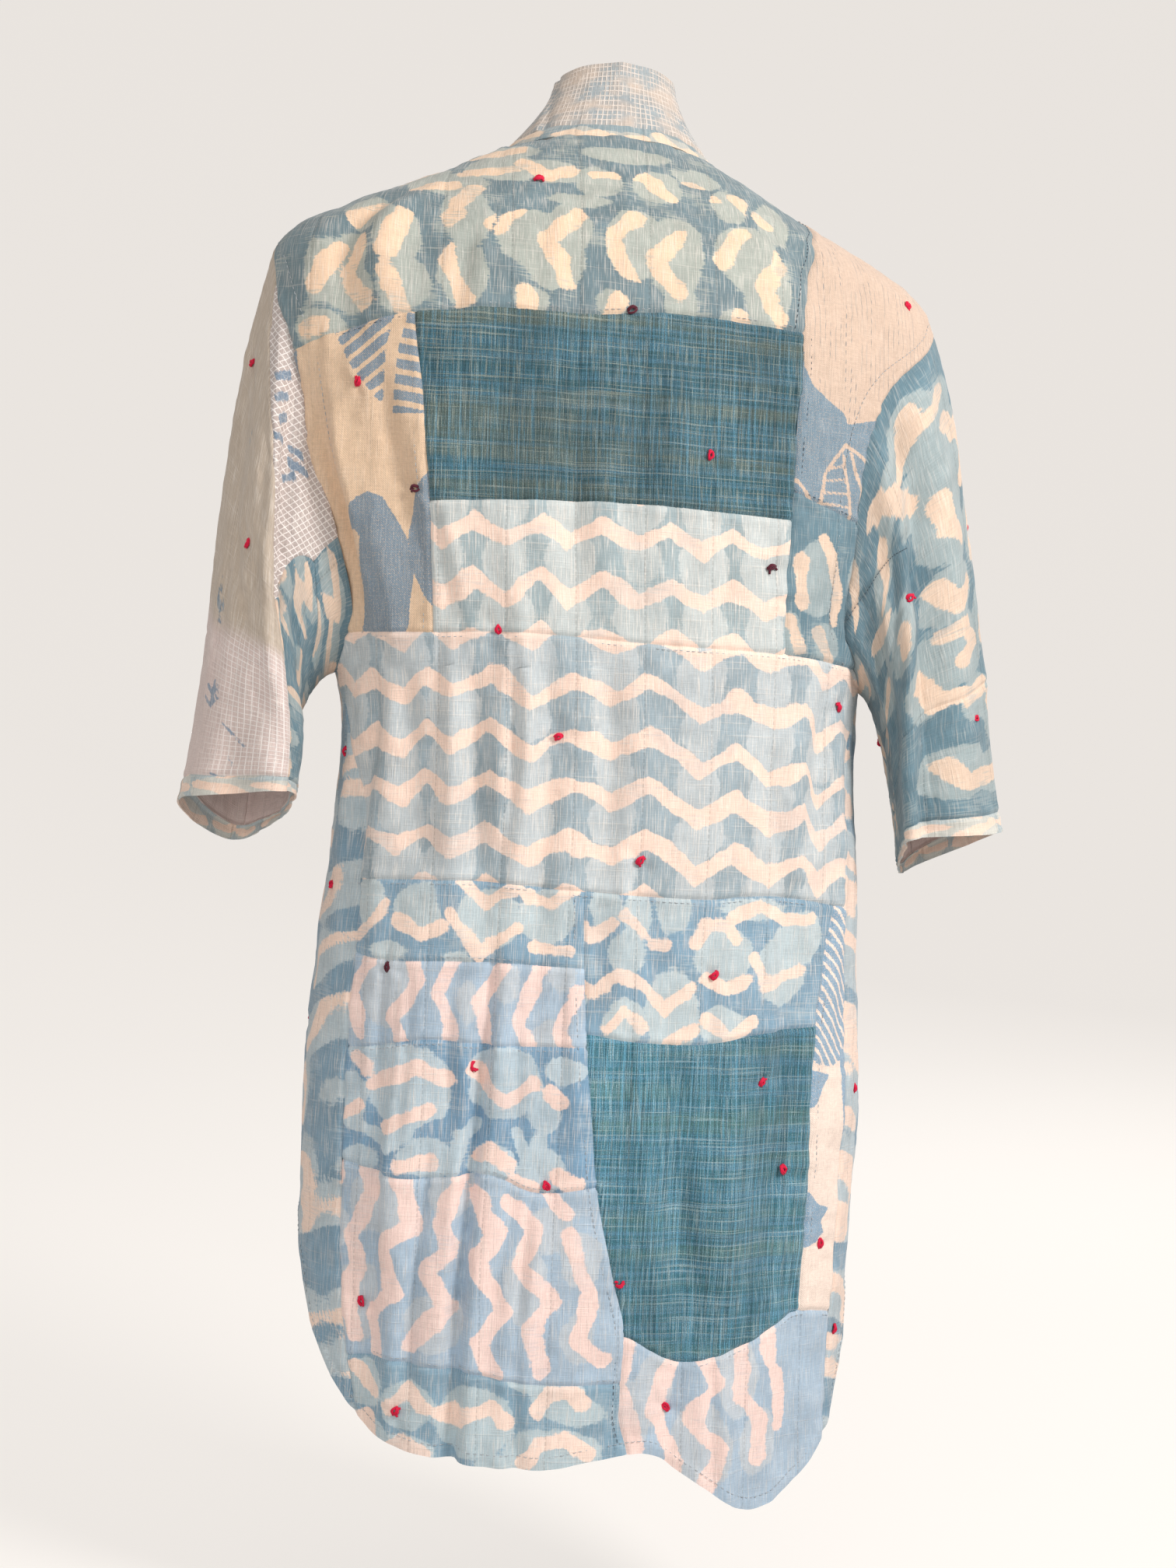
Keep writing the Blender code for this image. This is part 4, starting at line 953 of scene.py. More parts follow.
YOKE_RIBBONS = (
    ((-11, 168), (14, 203), (-14, 266)), ((-46, 188), (-23, 222), (-46, 250)), ((-138, 200), (-121, 236), (-138, 264)),
    ((-102, 172), (-86, 212)), ((34, 168), (66, 212), (47, 252)), ((96, 176), (111, 202)), ((131, 146), (153, 204)),
    ((156, 228), (137, 272)), ((184, 186), (206, 238)), ((204, 252), (181, 294)), ((224, 222), (238, 252)),
    ((234, 262), (212, 290)), ((88, 84), (66, 110), (42, 92)), ((22, 100), (-6, 98)), ((-12, 92), (-40, 128)),
    ((-60, 96), (-76, 118)), ((-98, 108), (-128, 152)), ((96, 100), (136, 112)), ((150, 138), (188, 156)), ((92, 56), (140, 66)), ((176, 100), (206, 122)),
    ((84, 262), (84, 278)), ((4, 262), (14, 278)), ((-100, 262), (-104, 276)), ((252, 232), (268, 262)),
    ((258, 296), (276, 300)), ((212, 176), (236, 196)),
)
BAND_LEFT_DROPS = ((213, 779, 17, 22), (166, 784, 21, 21), (105, 790, 28, 26), (56, 786, 25, 24), (248, 786, 12, 20), (190, 822, 16, 8), (130, 824, 12, 8))
BAND_LEFT_RIBBONS = (
    ((226, 812), (212, 800), (194, 782)), ((185, 795), (164, 806), (144, 795)), ((137, 786), (113, 819), (80, 796)),
    ((129, 760), (106, 777), (84, 764)), ((72, 768), (54, 778), (34, 766)), ((66, 814), (34, 817)), ((252, 808), (240, 816)),
)
BAND_RIGHT_DROPS = (
    (8, 779, 14, 20), (-21, 782, 15, 18), (-54, 778, 15, 22), (-14, 817, 16, 21), (-97, 815, 28, 25), (-156, 828, 25, 34),
    (-12, 874, 19, 22), (-54, 866, 24, 38), (-100, 878, 23, 17), (34, 862, 14, 26), (-126, 776, 34, 9), (-176, 800, 20, 24),
)
BAND_RIGHT_RIBBONS = (
    ((32, 790), (17, 808), (0, 790)), ((-9, 782), (-26, 800)), ((-71, 808), (-80, 791), (-100, 791), (-110, 802)),
    ((-52, 862), (-72, 845)), ((-84, 838), (-100, 846), (-119, 836)), ((-127, 818), (-138, 842), (-174, 828)),
    ((32, 836), (16, 850), (-6, 835), (-31, 843), (-48, 866)), ((2, 880), (-12, 864), (-27, 880)),
    ((-52, 892), (-73, 878)), ((-84, 872), (-105, 888), (-127, 874)), ((-36, 806), (-46, 808)), ((-106, 784), (-126, 772), (-158, 786), (-184, 784)),
)
ZIGZAG_LEFT = (
    ((206, 828), (225, 858), (216, 892)), ((172, 820), (164, 846), (183, 878), (174, 896)), ((132, 822), (146, 856), (132, 884), (136, 905)),
    ((90, 830), (110, 862), (101, 905)), ((56, 828), (75, 876), (64, 905)), ((28, 850), (39, 884), (28, 908)), ((250, 826), (240, 860), (256, 890)),
)
PRINT_LEFT_DROPS = (
    (169, 934, 37, 33), (86, 928, 31, 30), (221, 948, 13, 20), (51, 951, 12, 17), (150, 994, 21, 15), (94, 998, 20, 17),
    (50, 1000, 18, 17), (252, 936, 14, 22), (34, 916, 14, 10), (206, 905, 22, 12), (214, 1000, 14, 8),
)
PRINT_LEFT_RIBBONS = (
    ((203, 934), (178, 924), (159, 916), (148, 924), (134, 928)), ((188, 972), (150, 952)), ((113, 918), (87, 944), (62, 926)),
    ((233, 965), (214, 954)), ((218, 914), (210, 920)), ((48, 934), (40, 942)), ((171, 1002), (146, 998)),
    ((108, 990), (94, 986), (78, 996)), ((72, 1012), (58, 1016)), ((34, 1004), (22, 1012)), ((256, 914), (244, 926)),
)
PALE_RIBBONS = (((246, 942), (236, 962), (212, 974), (184, 986), (160, 966), (142, 954)), ((128, 1002), (122, 976), (110, 966)), ((74, 970), (62, 990), (54, 976)))
ZIGZAG_LOW = (
    ((241, 990), (234, 1015), (247, 1036), (248, 1063), (234, 1090), (242, 1115), (236, 1150)),
    ((204, 1000), (198, 1026), (214, 1060), (212, 1090), (222, 1120), (212, 1150)),
    ((157, 995), (171, 1012), (157, 1052), (184, 1070), (170, 1110), (196, 1131), (188, 1160)),
    ((120, 1005), (134, 1045), (127, 1072), (145, 1088), (127, 1118), (156, 1155)),
    ((106, 1020), (86, 1054), (103, 1078), (76, 1118), (95, 1148), (82, 1172)),
    ((77, 1026), (53, 1051), (66, 1080), (38, 1111), (55, 1137), (42, 1168)),
    ((44, 1018), (27, 1036)), ((22, 1056), (11, 1092), (4, 1112)), ((8, 1112), (12, 1142), (-8, 1160)),
)
ZIGZAG_LOW_DROPS = ((190, 1034, 26, 25), (126, 1020, 16, 20), (208, 1120, 20, 30), (138, 1135, 22, 22), (60, 1096, 14, 30), (40, 1050, 16, 18), (14, 1076, 14, 18), (14, 1140, 12, 18), (234, 1060, 14, 16))
HEM_LEFT_DROPS = (
    (200, 1189, 16, 17), (158, 1203, 20, 18), (100, 1214, 31, 29), (30, 1190, 19, 17), (198, 1234, 20, 16), (161, 1244, 22, 13),
    (32, 1240, 36, 20), (50, 1172, 20, 13), (236, 1204, 16, 18), (78, 1252, 14, 8), (10, 1206, 14, 7),
)
HEM_LEFT_RIBBONS = (
    ((211, 1178), (190, 1194)), ((174, 1204), (158, 1190), (142, 1204)), ((131, 1206), (114, 1213), (98, 1204), (84, 1199), (71, 1213)),
    ((47, 1204), (34, 1187), (18, 1189), (11, 1198)), ((212, 1226), (198, 1218), (188, 1240)), ((177, 1244), (161, 1233), (145, 1244)),
    ((57, 1248), (43, 1231), (24, 1226), (2, 1240)), ((244, 1190), (230, 1206)),
)
HEM_RIGHT = (
    ((-30, 1140), (-22, 1180), (-38, 1240)), ((-70, 1160), (-54, 1203), (-72, 1246), (-64, 1280)),
    ((-95, 1160), (-106, 1182), (-88, 1212), (-111, 1237), (-98, 1285)), ((-133, 1140), (-131, 1193), (-150, 1216), (-152, 1250)),
    ((-154, 1125), (-160, 1166), (-172, 1190), (-170, 1220)),
)
HEM_RIGHT_DROPS = ((-96, 1236, 22, 34), (-54, 1186, 14, 26), (-128, 1176, 16, 30), (-150, 1234, 16, 24), (-30, 1210, 16, 30), (-112, 1150, 18, 10))
SIDE_RIGHT_DROPS = ((-178, 489, 22, 34), (-192, 546, 15, 18), (-151, 538, 12, 20), (-236, 480, 22, 26), (-244, 540, 16, 20))
SIDE_RIGHT_RIBBONS = (((-184, 452), (-194, 470), (-201, 496), (-198, 524)), ((-161, 472), (-160, 498), (-166, 512)), ((-181, 536), (-187, 548), (-197, 562)), ((-151, 526), (-158, 548)), ((-232, 466), (-246, 490)), ((-236, 532), (-250, 548)))
SLEEVE_RIGHT_DROPS = (
    (72, 55, 18, 28), (56, 92, 18, 24), (44, 58, 16, 20), (62, 140, 20, 24), (60, 168, 20, 18), (66, 212, 22, 20), (58, 262, 18, 24),
    (92, 272, 20, 30), (52, 306, 18, 16), (76, 366, 26, 22), (34, 372, 26, 16), (28, 108, 18, 26), (22, 180, 16, 24), (18, 250, 20, 24),
    (24, 320, 18, 22), (104, 60, 16, 18), (86, 110, 14, 20), (130, 84, 16, 22), (150, 118, 18, 20), (118, 190, 16, 32), (160, 184, 20, 20), (140, 150, 12, 14),
)
SLEEVE_RIGHT_RIBBONS = (
    ((73, 38), (75, 62), (86, 76)), ((44, 44), (56, 54), (66, 58)), ((48, 72), (39, 92)), ((67, 132), (65, 160), (54, 174)),
    ((79, 200), (64, 222), (48, 212)), ((76, 242), (60, 244), (48, 260), (66, 270)), ((99, 268), (84, 298), (70, 298)), ((66, 306), (42, 298)),
    ((86, 356), (72, 376), (20, 372)), ((122, 26), (102, 68), (82, 118)), ((127, 64), (124, 92), (136, 104)), ((160, 98), (138, 130)),
    ((120, 180), (114, 212)), ((158, 174), (172, 192)), ((30, 92), (20, 118), (32, 134)), ((20, 170), (30, 198)), ((14, 236), (26, 262)), ((30, 312), (16, 336)), ((150, 4), (166, 30)),
)


def camo(x, y, seed, upright):
    """Loose drops with a bent ribbon in each, in rough rows."""
    dice = np.random.default_rng(seed)
    ribbon = np.full(np.shape(x), -60.0)
    blob = np.full(np.shape(x), -60.0)
    for cy in np.arange(y.min() - 30, y.max() + 60, 56):
        for cx in np.arange(x.min() - 30, x.max() + 60, 47):
            px, py = cx + dice.uniform(-15, 15), cy + dice.uniform(-15, 15)
            rx, ry = dice.uniform(13, 26), dice.uniform(15, 28)
            bend, turn = dice.uniform(6, 16) * dice.choice([-1, 1]), dice.uniform(-0.9, 0.9) + (0 if upright else 1.5)
            c, s = math.cos(turn), math.sin(turn)
            bent = [(px + c * e - s * f, py + s * e + c * f) for e, f in ((-bend * 0.6, -ry), (bend * 0.6, 0), (-bend * 0.6, ry))]
            near = (np.abs(x - px) < 45) & (np.abs(y - py) < 45)
            if near.any():
                ribbon[near] = np.maximum(ribbon[near], np.minimum(6.4 - off_path(x[near], y[near], bent), 30))
                blob[near] = np.maximum(blob[near], drops(x[near], y[near], [(px, py, rx, ry)]))
    return np.minimum(ribbon, blob + 3), blob


# Leaf cloths. The woven leaves are common plain ones, in rounded shapes.
STRIPED_LEAF = ((250, 300), (229, 334), (205, 361), (196, 368), (160, 368), (160, 270), (216, 284))
HALF_LEAF = ((216, 433), (204, 438), (193, 455), (184, 471), (181, 484), (177, 498), (180, 520), (181, 544), (187, 556), (232, 556), (222, 455))
SIDE_LEAF = ((163, 414), (174, 430), (178, 449), (182, 467), (182, 485), (177, 502), (169, 518), (156, 534), (150, 491), (150, 420))
LEAF_SPOT = ((215, 433), (226, 438), (232, 444), (233, 453), (238, 459), (240, 464), (236, 466), (228, 464), (223, 471), (215, 472))
LEAF_STRIP = ((320, 314), (283, 316), (283, 342), (288, 365), (296, 380), (322, 400))
CREAM_EDGE = ((-120, 20), (-120, 250), (-158, 284), (-159, 300), (-167, 316), (-183, 328), (-199, 338), (-203, 347), (-242, 337), (-252, 316), (-262, 300), (-420, 300), (-420, 20))
CREAM_TAIL = ((-241, 330), (-240, 357), (-229, 384), (-240, 412), (-250, 372), (-256, 330), (-262, 290), (-246, 300))


def leaf_left(x, y):
    vein = off_path(x, y, [(186, 276), (196, 312), (200, 372)]) - 5.0
    slope = np.where(x > 196, -0.80, 0.16)
    pitch = np.where(x > 196, 14.5, 13.0)
    rib = np.abs((((y + slope * (x - 196) - 287) / pitch) % 1.0) - 0.5) * pitch - 2.4
    leaf = np.minimum(np.minimum(inside(x, y, STRIPED_LEAF), vein), rib)
    leaf = np.where(x < 196, np.minimum(leaf, 368 - y), leaf)
    solid = np.maximum(inside(x, y, HALF_LEAF), inside(x, y, SIDE_LEAF))
    spot = np.maximum(inside(x, y, LEAF_SPOT), inside(x, y, LEAF_STRIP))
    return np.maximum(np.maximum(leaf, solid), spot)


def leaf_right(x, y):
    blue = -np.maximum(inside(x, y, CREAM_EDGE), inside(x, y, CREAM_TAIL))
    outline = [((-203, 365), (-190, 382), (-182, 394), (-176, 428)), ((-203, 366), (-216, 371), (-234, 386), (-232, 424)),
               ((-201, 376), (-210, 416), (-211, 452)), ((-209, 372), (-221, 404), (-224, 444)), ((-154, 402), (-168, 418), (-174, 430))]
    lines = np.min([off_path(x, y, path) for path in outline], axis=0) - 1.7
    ribs = [((-203, 384), (-186, 389)), ((-204, 396), (-182, 400)), ((-206, 409), (-180, 411)), ((-207, 421), (-180, 420)), ((-208, 433), (-190, 428))]
    lines = np.minimum(lines, np.min([off_path(x, y, path) for path in ribs], axis=0) - 1.2)
    return np.minimum(blue, lines)


def leaf_strip(x, y):
    leaf = inside(x, y, ((-196, 766), (-236, 766), (-236, 905), (-216, 914), (-186, 909), (-186, 800)))
    rib = np.abs((((y + 1.25 * (x + 200)) / 12.0) % 1.0) - 0.5) * 12 * 0.62 - 1.2
    blue = np.maximum(
        inside(x, y, ((-180, 914), (-196, 917), (-213, 921), (-196, 946), (-180, 958))),
        inside(x, y, ((-180, 1012), (-200, 1026), (-208, 1034), (-222, 1038), (-214, 1049), (-218, 1060), (-210, 1068), (-180, 1074))),
    )
    blue = np.maximum(blue, inside(x, y, ((-228, 900), (-250, 900), (-250, 1010), (-236, 990))))
    return np.maximum(np.minimum(leaf, rib), blue)


# Small marks in the left sleeve's pale cloths.
GRID_DASHES = (
    ((80, 82), (91, 58)), ((80, 64), (87, 40)), ((100, 39), (109, 20)), ((104, 45), (117, 18)), ((104, 67), (111, 42)),
    ((72, 60), (81, 32)), ((68, 46), (76, 20)),
)
SPRIG = (
    ((42, 330), (40, 352)), ((40, 352), (30, 345)), ((40, 350), (50, 342)), ((41, 343), (33, 336)), ((41, 341), (49, 334)),
    ((-40, 190), (-42, 212)), ((-42, 212), (-52, 204)), ((-42, 210), (-33, 202)), ((-70, 320), (-66, 338)), ((-66, 338), (-76, 330)),
)


def print_of(name, x, y):
    """The fields of a piece's print: ribbon over drop over ground, and motif."""
    loose = 0.0 if "leaf" in name or "strip" in name or "sleeve_left" in name else 1.0
    x, y = (
        x + loose * (2.6 * wander(x, y, 19.0, 61) + 1.2 * wander(x, y, 8.0, 62)),
        y + loose * (2.6 * wander(x, y, 19.0, 63) + 1.2 * wander(x, y, 8.0, 64)),
    )
    ribbon = np.full(np.shape(x), -60.0)
    blob, motif = ribbon.copy(), ribbon.copy()
    if name == "back_yoke":
        blob = drops(x, y, YOKE_DROPS) + 2.4
        ribbon = np.minimum(strokes(x, y, YOKE_RIBBONS, 17), blob + 0.8)
    elif name == "back_chevron_upper":
        ribbon, blob = chevrons(x, y, UPPER_ROWS, UPPER_STEPS, 15.0)
    elif name == "back_chevron_lower":
        ribbon, blob = chevrons(x, y, CHEVRON_ROWS, CHEVRON_STEPS, 15.0)
    elif name == "back_band_left":
        ribbon, blob = strokes(x, y, BAND_LEFT_RIBBONS, 11), drops(x, y, BAND_LEFT_DROPS)
    elif name == "back_band_right":
        ribbon, blob = strokes(x, y, BAND_RIGHT_RIBBONS, 11), drops(x, y, BAND_RIGHT_DROPS)
    elif name == "back_zigzag_left":
        ribbon = strokes(x, y, ZIGZAG_LEFT, 13)
        blob = drops(x, y, ((190, 855, 26, 30), (235, 870, 18, 24), (120, 862, 8, 20), (84, 846, 10, 16), (50, 890, 14, 18), (40, 836, 10, 14)))
    elif name == "back_print_left":
        ribbon = strokes(x, y, PRINT_LEFT_RIBBONS, 14)
        blob = np.maximum(drops(x, y, PRINT_LEFT_DROPS) + 2, strokes(x, y, PALE_RIBBONS, 11))
    elif name == "back_zigzag_low":
        ribbon, blob = strokes(x, y, ZIGZAG_LOW, 15), drops(x, y, ZIGZAG_LOW_DROPS) + 3
    elif name == "back_hem_left":
        ribbon = strokes(x, y, HEM_LEFT_RIBBONS, 14)
        blob = drops(x, y, HEM_LEFT_DROPS) + 3
    elif name == "back_hem_right":
        ribbon, blob = strokes(x, y, HEM_RIGHT, 15), drops(x, y, HEM_RIGHT_DROPS) + 3
    elif name == "back_side_right":
        blob = drops(x, y, SIDE_RIGHT_DROPS)
        ribbon = strokes(x, y, SIDE_RIGHT_RIBBONS, 12)
    elif name == "back_leaf_left":
        motif = leaf_left(x, y)
    elif name == "back_leaf_right":
        motif = leaf_right(x, y)
    elif name == "back_strip_right":
        motif = leaf_strip(x, y)
    elif name.startswith("sleeve_right") and name != "sleeve_right_hem":
        blob, ribbon = drops(x, y, SLEEVE_RIGHT_DROPS), strokes(x, y, SLEEVE_RIGHT_RIBBONS, 13)
        other, more = camo(x, y, 5, True)
        far = np.maximum(ease(-x, -20.0, 0.0), ease(x, 175.0, 195.0)) > 0.5
        ribbon, blob = np.where(far, other, ribbon + 0.8), np.where(far, more, blob) + 3.5
    elif name == "sleeve_left_back":
        motif = strokes(x, y, GRID_DASHES, 4.4)
    elif name in ("sleeve_left_upper", "sleeve_left_lower"):
        lines = (((49, 124), (46, 144)), ((31, 254), (30, 270), (34, 286)), ((33, 262), (40, 280)), ((31, 268), (38, 288)), ((54, 408), (63, 412)), ((65, 392), (70, 403)), ((64, 369), (77, 382)), ((58, 362), (66, 370)))
        motif = strokes(x, y, lines, 2.2)
        motif = np.maximum(motif, strokes(x, y, SPRIG, 3.4))
    elif name in ("sleeve_left_under", "sleeve_left_low"):
        ribbon, blob = camo(x, y, 12, True)
    elif name in ("neckband", "sleeve_left_hem", "sleeve_right_hem"):
        ribbon, blob = camo(x, 2.2 * y, 17, False)
        ribbon, blob = ribbon + 2, blob + 3
    elif name in ("front_left", "front_right"):
        ribbon, blob = camo(x / 1.05, y / 1.05, 23 if name == "front_left" else 29, True)
        blob = blob + 3
    elif name == "collar":
        motif = strokes(x, y, (((-74, 22), (-82, 40)), ((-70, 30), (-76, 44)), ((-90, 30), (-97, 44)), ((-96, 24), (-104, 40)), ((-84, 48), (-88, 56))), 1.6)
    return {"ribbon": ribbon, "blob": blob, "motif": motif}


# ------------------------------------------------------------ materials
def rgb(red, green, blue):
    """Linear colour from the screen's 0 to 255."""
    return tuple(((c / 255) / 12.92 if c < 10 else ((c / 255 + 0.055) / 1.055) ** 2.4) for c in (red, green, blue)) + (1.0,)


class Dye:
    """A material's nodes, added one by one."""

    def __init__(self, name):
        self.material = bpy.data.materials.new(name)
        self.material.use_nodes = True
        self.tree = self.material.node_tree
        self.tree.nodes.clear()
        self.uv = self.put("ShaderNodeUVMap", uv_map="cloth").outputs[0]

    def put(self, kind, values=(), **settings):
        node = self.tree.nodes.new(kind)
        for key, value in settings.items():
            setattr(node, key, value)
        for key, value in dict(values).items():
            if isinstance(value, bpy.types.NodeSocket):
                self.tree.links.new(value, node.inputs[key])
            else:
                node.inputs[key].default_value = value
        return node

    def sum(self, kind, a, b=0.0, c=0.0):
        return self.put("ShaderNodeMath", {0: a, 1: b, 2: c}, operation=kind).outputs[0]

    def noise(self, sx, sy, detail=1.0, shift=0.0):
        place = self.put("ShaderNodeVectorMath", {0: self.uv, 1: (sx, sy, 1.0), 2: (shift, 2 * shift, shift)}, operation="MULTIPLY_ADD").outputs[0]
        return self.put("ShaderNodeTexNoise", {"Vector": place, "Scale": 1.0, "Detail": detail}, noise_dimensions="2D").outputs[0]

    def band(self, value, low, high):
        return self.put("ShaderNodeMapRange", {"Value": value, "From Min": low, "From Max": high}, interpolation_type="SMOOTHSTEP").outputs[0]

    def mix(self, share, a, b):
        return self.put("ShaderNodeMix", {"Factor": share, 6: a, 7: b}, data_type="RGBA").outputs[2]

    def scale(self, colour, factor):
        colour = colour[:3] if isinstance(colour, tuple) else colour
        return self.put("ShaderNodeVectorMath", {0: colour, "Scale": factor}, operation="SCALE").outputs[0]

    def field(self, name):
        return self.put("ShaderNodeAttribute", attribute_name=name).outputs["Fac"]

    def axes(self):
        split = self.put("ShaderNodeSeparateXYZ", {0: self.uv})
        return self.sum("MULTIPLY", split.outputs[0], 1000.0), self.sum("MULTIPLY", split.outputs[1], 1000.0)

    def finish(self, colour, height, rough=0.88, sheen=0.18, depth=0.0009):
        bump = self.put("ShaderNodeBump", {"Strength": 0.7, "Distance": depth, "Height": height})
        skin = self.put("ShaderNodeBsdfPrincipled", {"Base Color": colour, "Roughness": rough, "Sheen Weight": sheen, "Sheen Roughness": 0.5, "Specular IOR Level": 0.22, "Normal": bump.outputs[0]})
        out = self.put("ShaderNodeOutputMaterial")
        self.tree.links.new(skin.outputs[0], out.inputs[0])
        return self.material


QUILT = 58.5  # spacing of the running stitches that hold the layers, in mm


def finish_weave(dye, colour, slub_share, slub_colour, bump_share=1.0, quilt=1.0, slub_scale=1.0):
    """Threads, slubs and running stitches over a dyed colour, with painted shade along the quilting grooves."""
    x, y = dye.axes()
    slub = dye.band(dye.noise(620 * slub_scale, 17, 1.0, 3.1), 0.60, 0.76)
    cross = dye.band(dye.noise(15, 560, 1.0, 8.3), 0.64, 0.78)
    fine = dye.band(dye.noise(1150 * slub_scale, 42, 1.0, 6.4), 0.52, 0.74)
    warp, weft = dye.noise(1500, 70, 1.0, 1.7), dye.noise(70, 1500, 1.0, 5.9)
    grain = dye.noise(700, 700, 1.0, 2.3)
    cloud = dye.noise(16, 16, 2.0, 4.4)
    colour = dye.mix(dye.sum("MULTIPLY", slub, slub_share * 0.55), colour, slub_colour)
    colour = dye.mix(dye.sum("MULTIPLY", fine, slub_share * 0.95), colour, slub_colour)
    colour = dye.mix(dye.sum("MULTIPLY", cross, slub_share * 0.45), colour, slub_colour)
    light = dye.sum("MULTIPLY_ADD", warp, 0.34, 0.70)
    light = dye.sum("MULTIPLY_ADD", weft, 0.24, light)
    light = dye.sum("MULTIPLY_ADD", grain, 0.12, light)
    light = dye.sum("MULTIPLY_ADD", cloud, 0.14, light)
    light = dye.sum("SUBTRACT", light, 0.12)
    place = dye.sum("MULTIPLY_ADD", dye.noise(9, 9, 1.0, 6.6), 2.6, x)
    line = dye.sum("PINGPONG", dye.sum("SUBTRACT", place, 38.1 + 1.3), QUILT / 2)
    dash = dye.band(dye.sum("PINGPONG", y, 2.6), 0.7, 1.2)
    stitch = dye.sum("MULTIPLY", dye.band(line, 0.75, 0.25), dash)
    # Each quilting line sinks into a groove in the bump, and the colour beside the line is darkened too: painted shade
    # in the groove.
    quilt_groove_and_shade = dye.band(line, 3.0, 0.0)
    light = dye.sum("MULTIPLY", light, dye.sum("MULTIPLY_ADD", stitch, -0.20 * quilt, 1.0))
    light = dye.sum("MULTIPLY", light, dye.sum("MULTIPLY_ADD", quilt_groove_and_shade, -0.035 * quilt, 1.0))
    colour = dye.scale(colour, light)
    height = dye.sum("MULTIPLY_ADD", warp, 0.30 * bump_share, dye.sum("MULTIPLY", weft, 0.24 * bump_share))
    height = dye.sum("MULTIPLY_ADD", slub, 0.32 * bump_share, height)
    height = dye.sum("MULTIPLY_ADD", cross, 0.22 * bump_share, height)
    height = dye.sum("MULTIPLY_ADD", quilt_groove_and_shade, -0.55 * quilt, height)
    return colour, height


def printed(name, ground, pale, ribbon, dry=1.0, slub=0.42, blotch_shade=0.10, back=None):
    """Block-printed cloth: ribbon on drop on ground, with dry brushed edges, and painted shade in loose blotches that
    dim it back to the ground colour.
    """
    dye = Dye(name)
    rough = dye.noise(300, 300, 2.0, 0.7)
    brush = dye.noise(46, 560, 2.0, 7.7)
    warp = dye.noise(900, 60, 1.0, 9.1)
    ragged = dye.sum("MULTIPLY_ADD", rough, 3.2, -1.6)
    ragged = dye.sum("MULTIPLY_ADD", dye.noise(90, 90, 1.0, 2.9), 3.0, dye.sum("SUBTRACT", ragged, 1.5))
    swept = dye.sum("MULTIPLY_ADD", brush, 3.0 * dry, dye.sum("MULTIPLY_ADD", warp, 1.8, -1.5 * dry - 0.9))
    edge = dye.sum("ADD", ragged, swept)
    on_blob = dye.band(dye.sum("ADD", dye.field("blob"), edge), -1.0, 1.0)
    edge_two = dye.sum("MULTIPLY_ADD", dye.noise(240, 240, 2.0, 5.1), 3.0, dye.sum("MULTIPLY_ADD", swept, 0.8, -1.5))
    on_ribbon = dye.band(dye.sum("ADD", dye.field("ribbon"), edge_two), -0.8, 0.8)
    worn = dye.band(dye.sum("MULTIPLY_ADD", dye.noise(26, 26, 2.0, 1.1), 0.7, dye.sum("MULTIPLY", brush, 0.5)), 0.66, 0.78)
    depth = dye.noise(30, 30, 2.0, 3.3)
    deep = dye.mix(depth, dye.scale(ground, 0.80), dye.scale(ground, 1.22))
    light = dye.mix(dye.noise(40, 40, 1.0, 6.1), dye.scale(pale, 0.86), dye.scale(pale, 1.12))
    colour = dye.mix(on_blob, deep, light)
    colour = dye.mix(dye.sum("MULTIPLY", worn, 0.42 * dry), colour, pale)
    colour = dye.mix(dye.sum("MULTIPLY", on_ribbon, dye.sum("MULTIPLY_ADD", worn, -0.35 * dry, 0.97)), colour, ribbon)
    # Loose blotches pull the colour back towards the ground: painted shade, grey shadows laid over the cloth.
    shade_blotch = dye.band(dye.noise(11, 11, 2.0, 8.8), 0.52, 0.72)
    colour = dye.mix(dye.sum("MULTIPLY", shade_blotch, blotch_shade), colour, ground)
    if back:
        colour = dye.mix(dye.field("inside"), colour, back)
    colour, height = finish_weave(dye, colour, slub, rgb(246, 238, 228))
    return dye.finish(colour, height)


def teal_cloth(name, base, blue, olive, pale):
    """Slub cloth woven from blue, green and pale threads."""
    dye = Dye(name)
    rows = dye.noise(5, 300, 2.0, 1.3)
    wide = dye.noise(2.5, 46, 2.0, 6.2)
    columns = dye.noise(520, 9, 1.0, 4.1)
    colour = dye.mix(dye.band(rows, 0.38, 0.66), base, blue)
    colour = dye.mix(dye.sum("MULTIPLY", dye.band(wide, 0.48, 0.70), 0.60), colour, olive)
    colour = dye.mix(dye.sum("MULTIPLY", dye.band(columns, 0.50, 0.74), 0.60), colour, dye.scale(blue, 1.55))
    dark = dye.noise(700, 8, 1.0, 7.4)
    colour = dye.scale(colour, dye.sum("MULTIPLY_ADD", dye.band(dark, 0.40, 0.66), -0.42, 1.12))
    threads = dye.band(dye.noise(9, 560, 1.0, 9.3), 0.62, 0.74)
    colour = dye.mix(dye.sum("MULTIPLY", threads, 0.34), colour, pale)
    colour, height = finish_weave(dye, colour, 0.40, pale, 1.6, 0.9, 1.1)
    speck = dye.noise(1150, 1150, 1.0, 0.4)
    colour = dye.scale(colour, dye.sum("MULTIPLY_ADD", speck, 1.5, 0.28))
    broad = dye.noise(14, 3, 1.0, 5.5)
    colour = dye.scale(colour, dye.sum("MULTIPLY_ADD", broad, 0.6, 0.62))
    return dye.finish(colour, height, 0.85, 0.22, 0.0011)


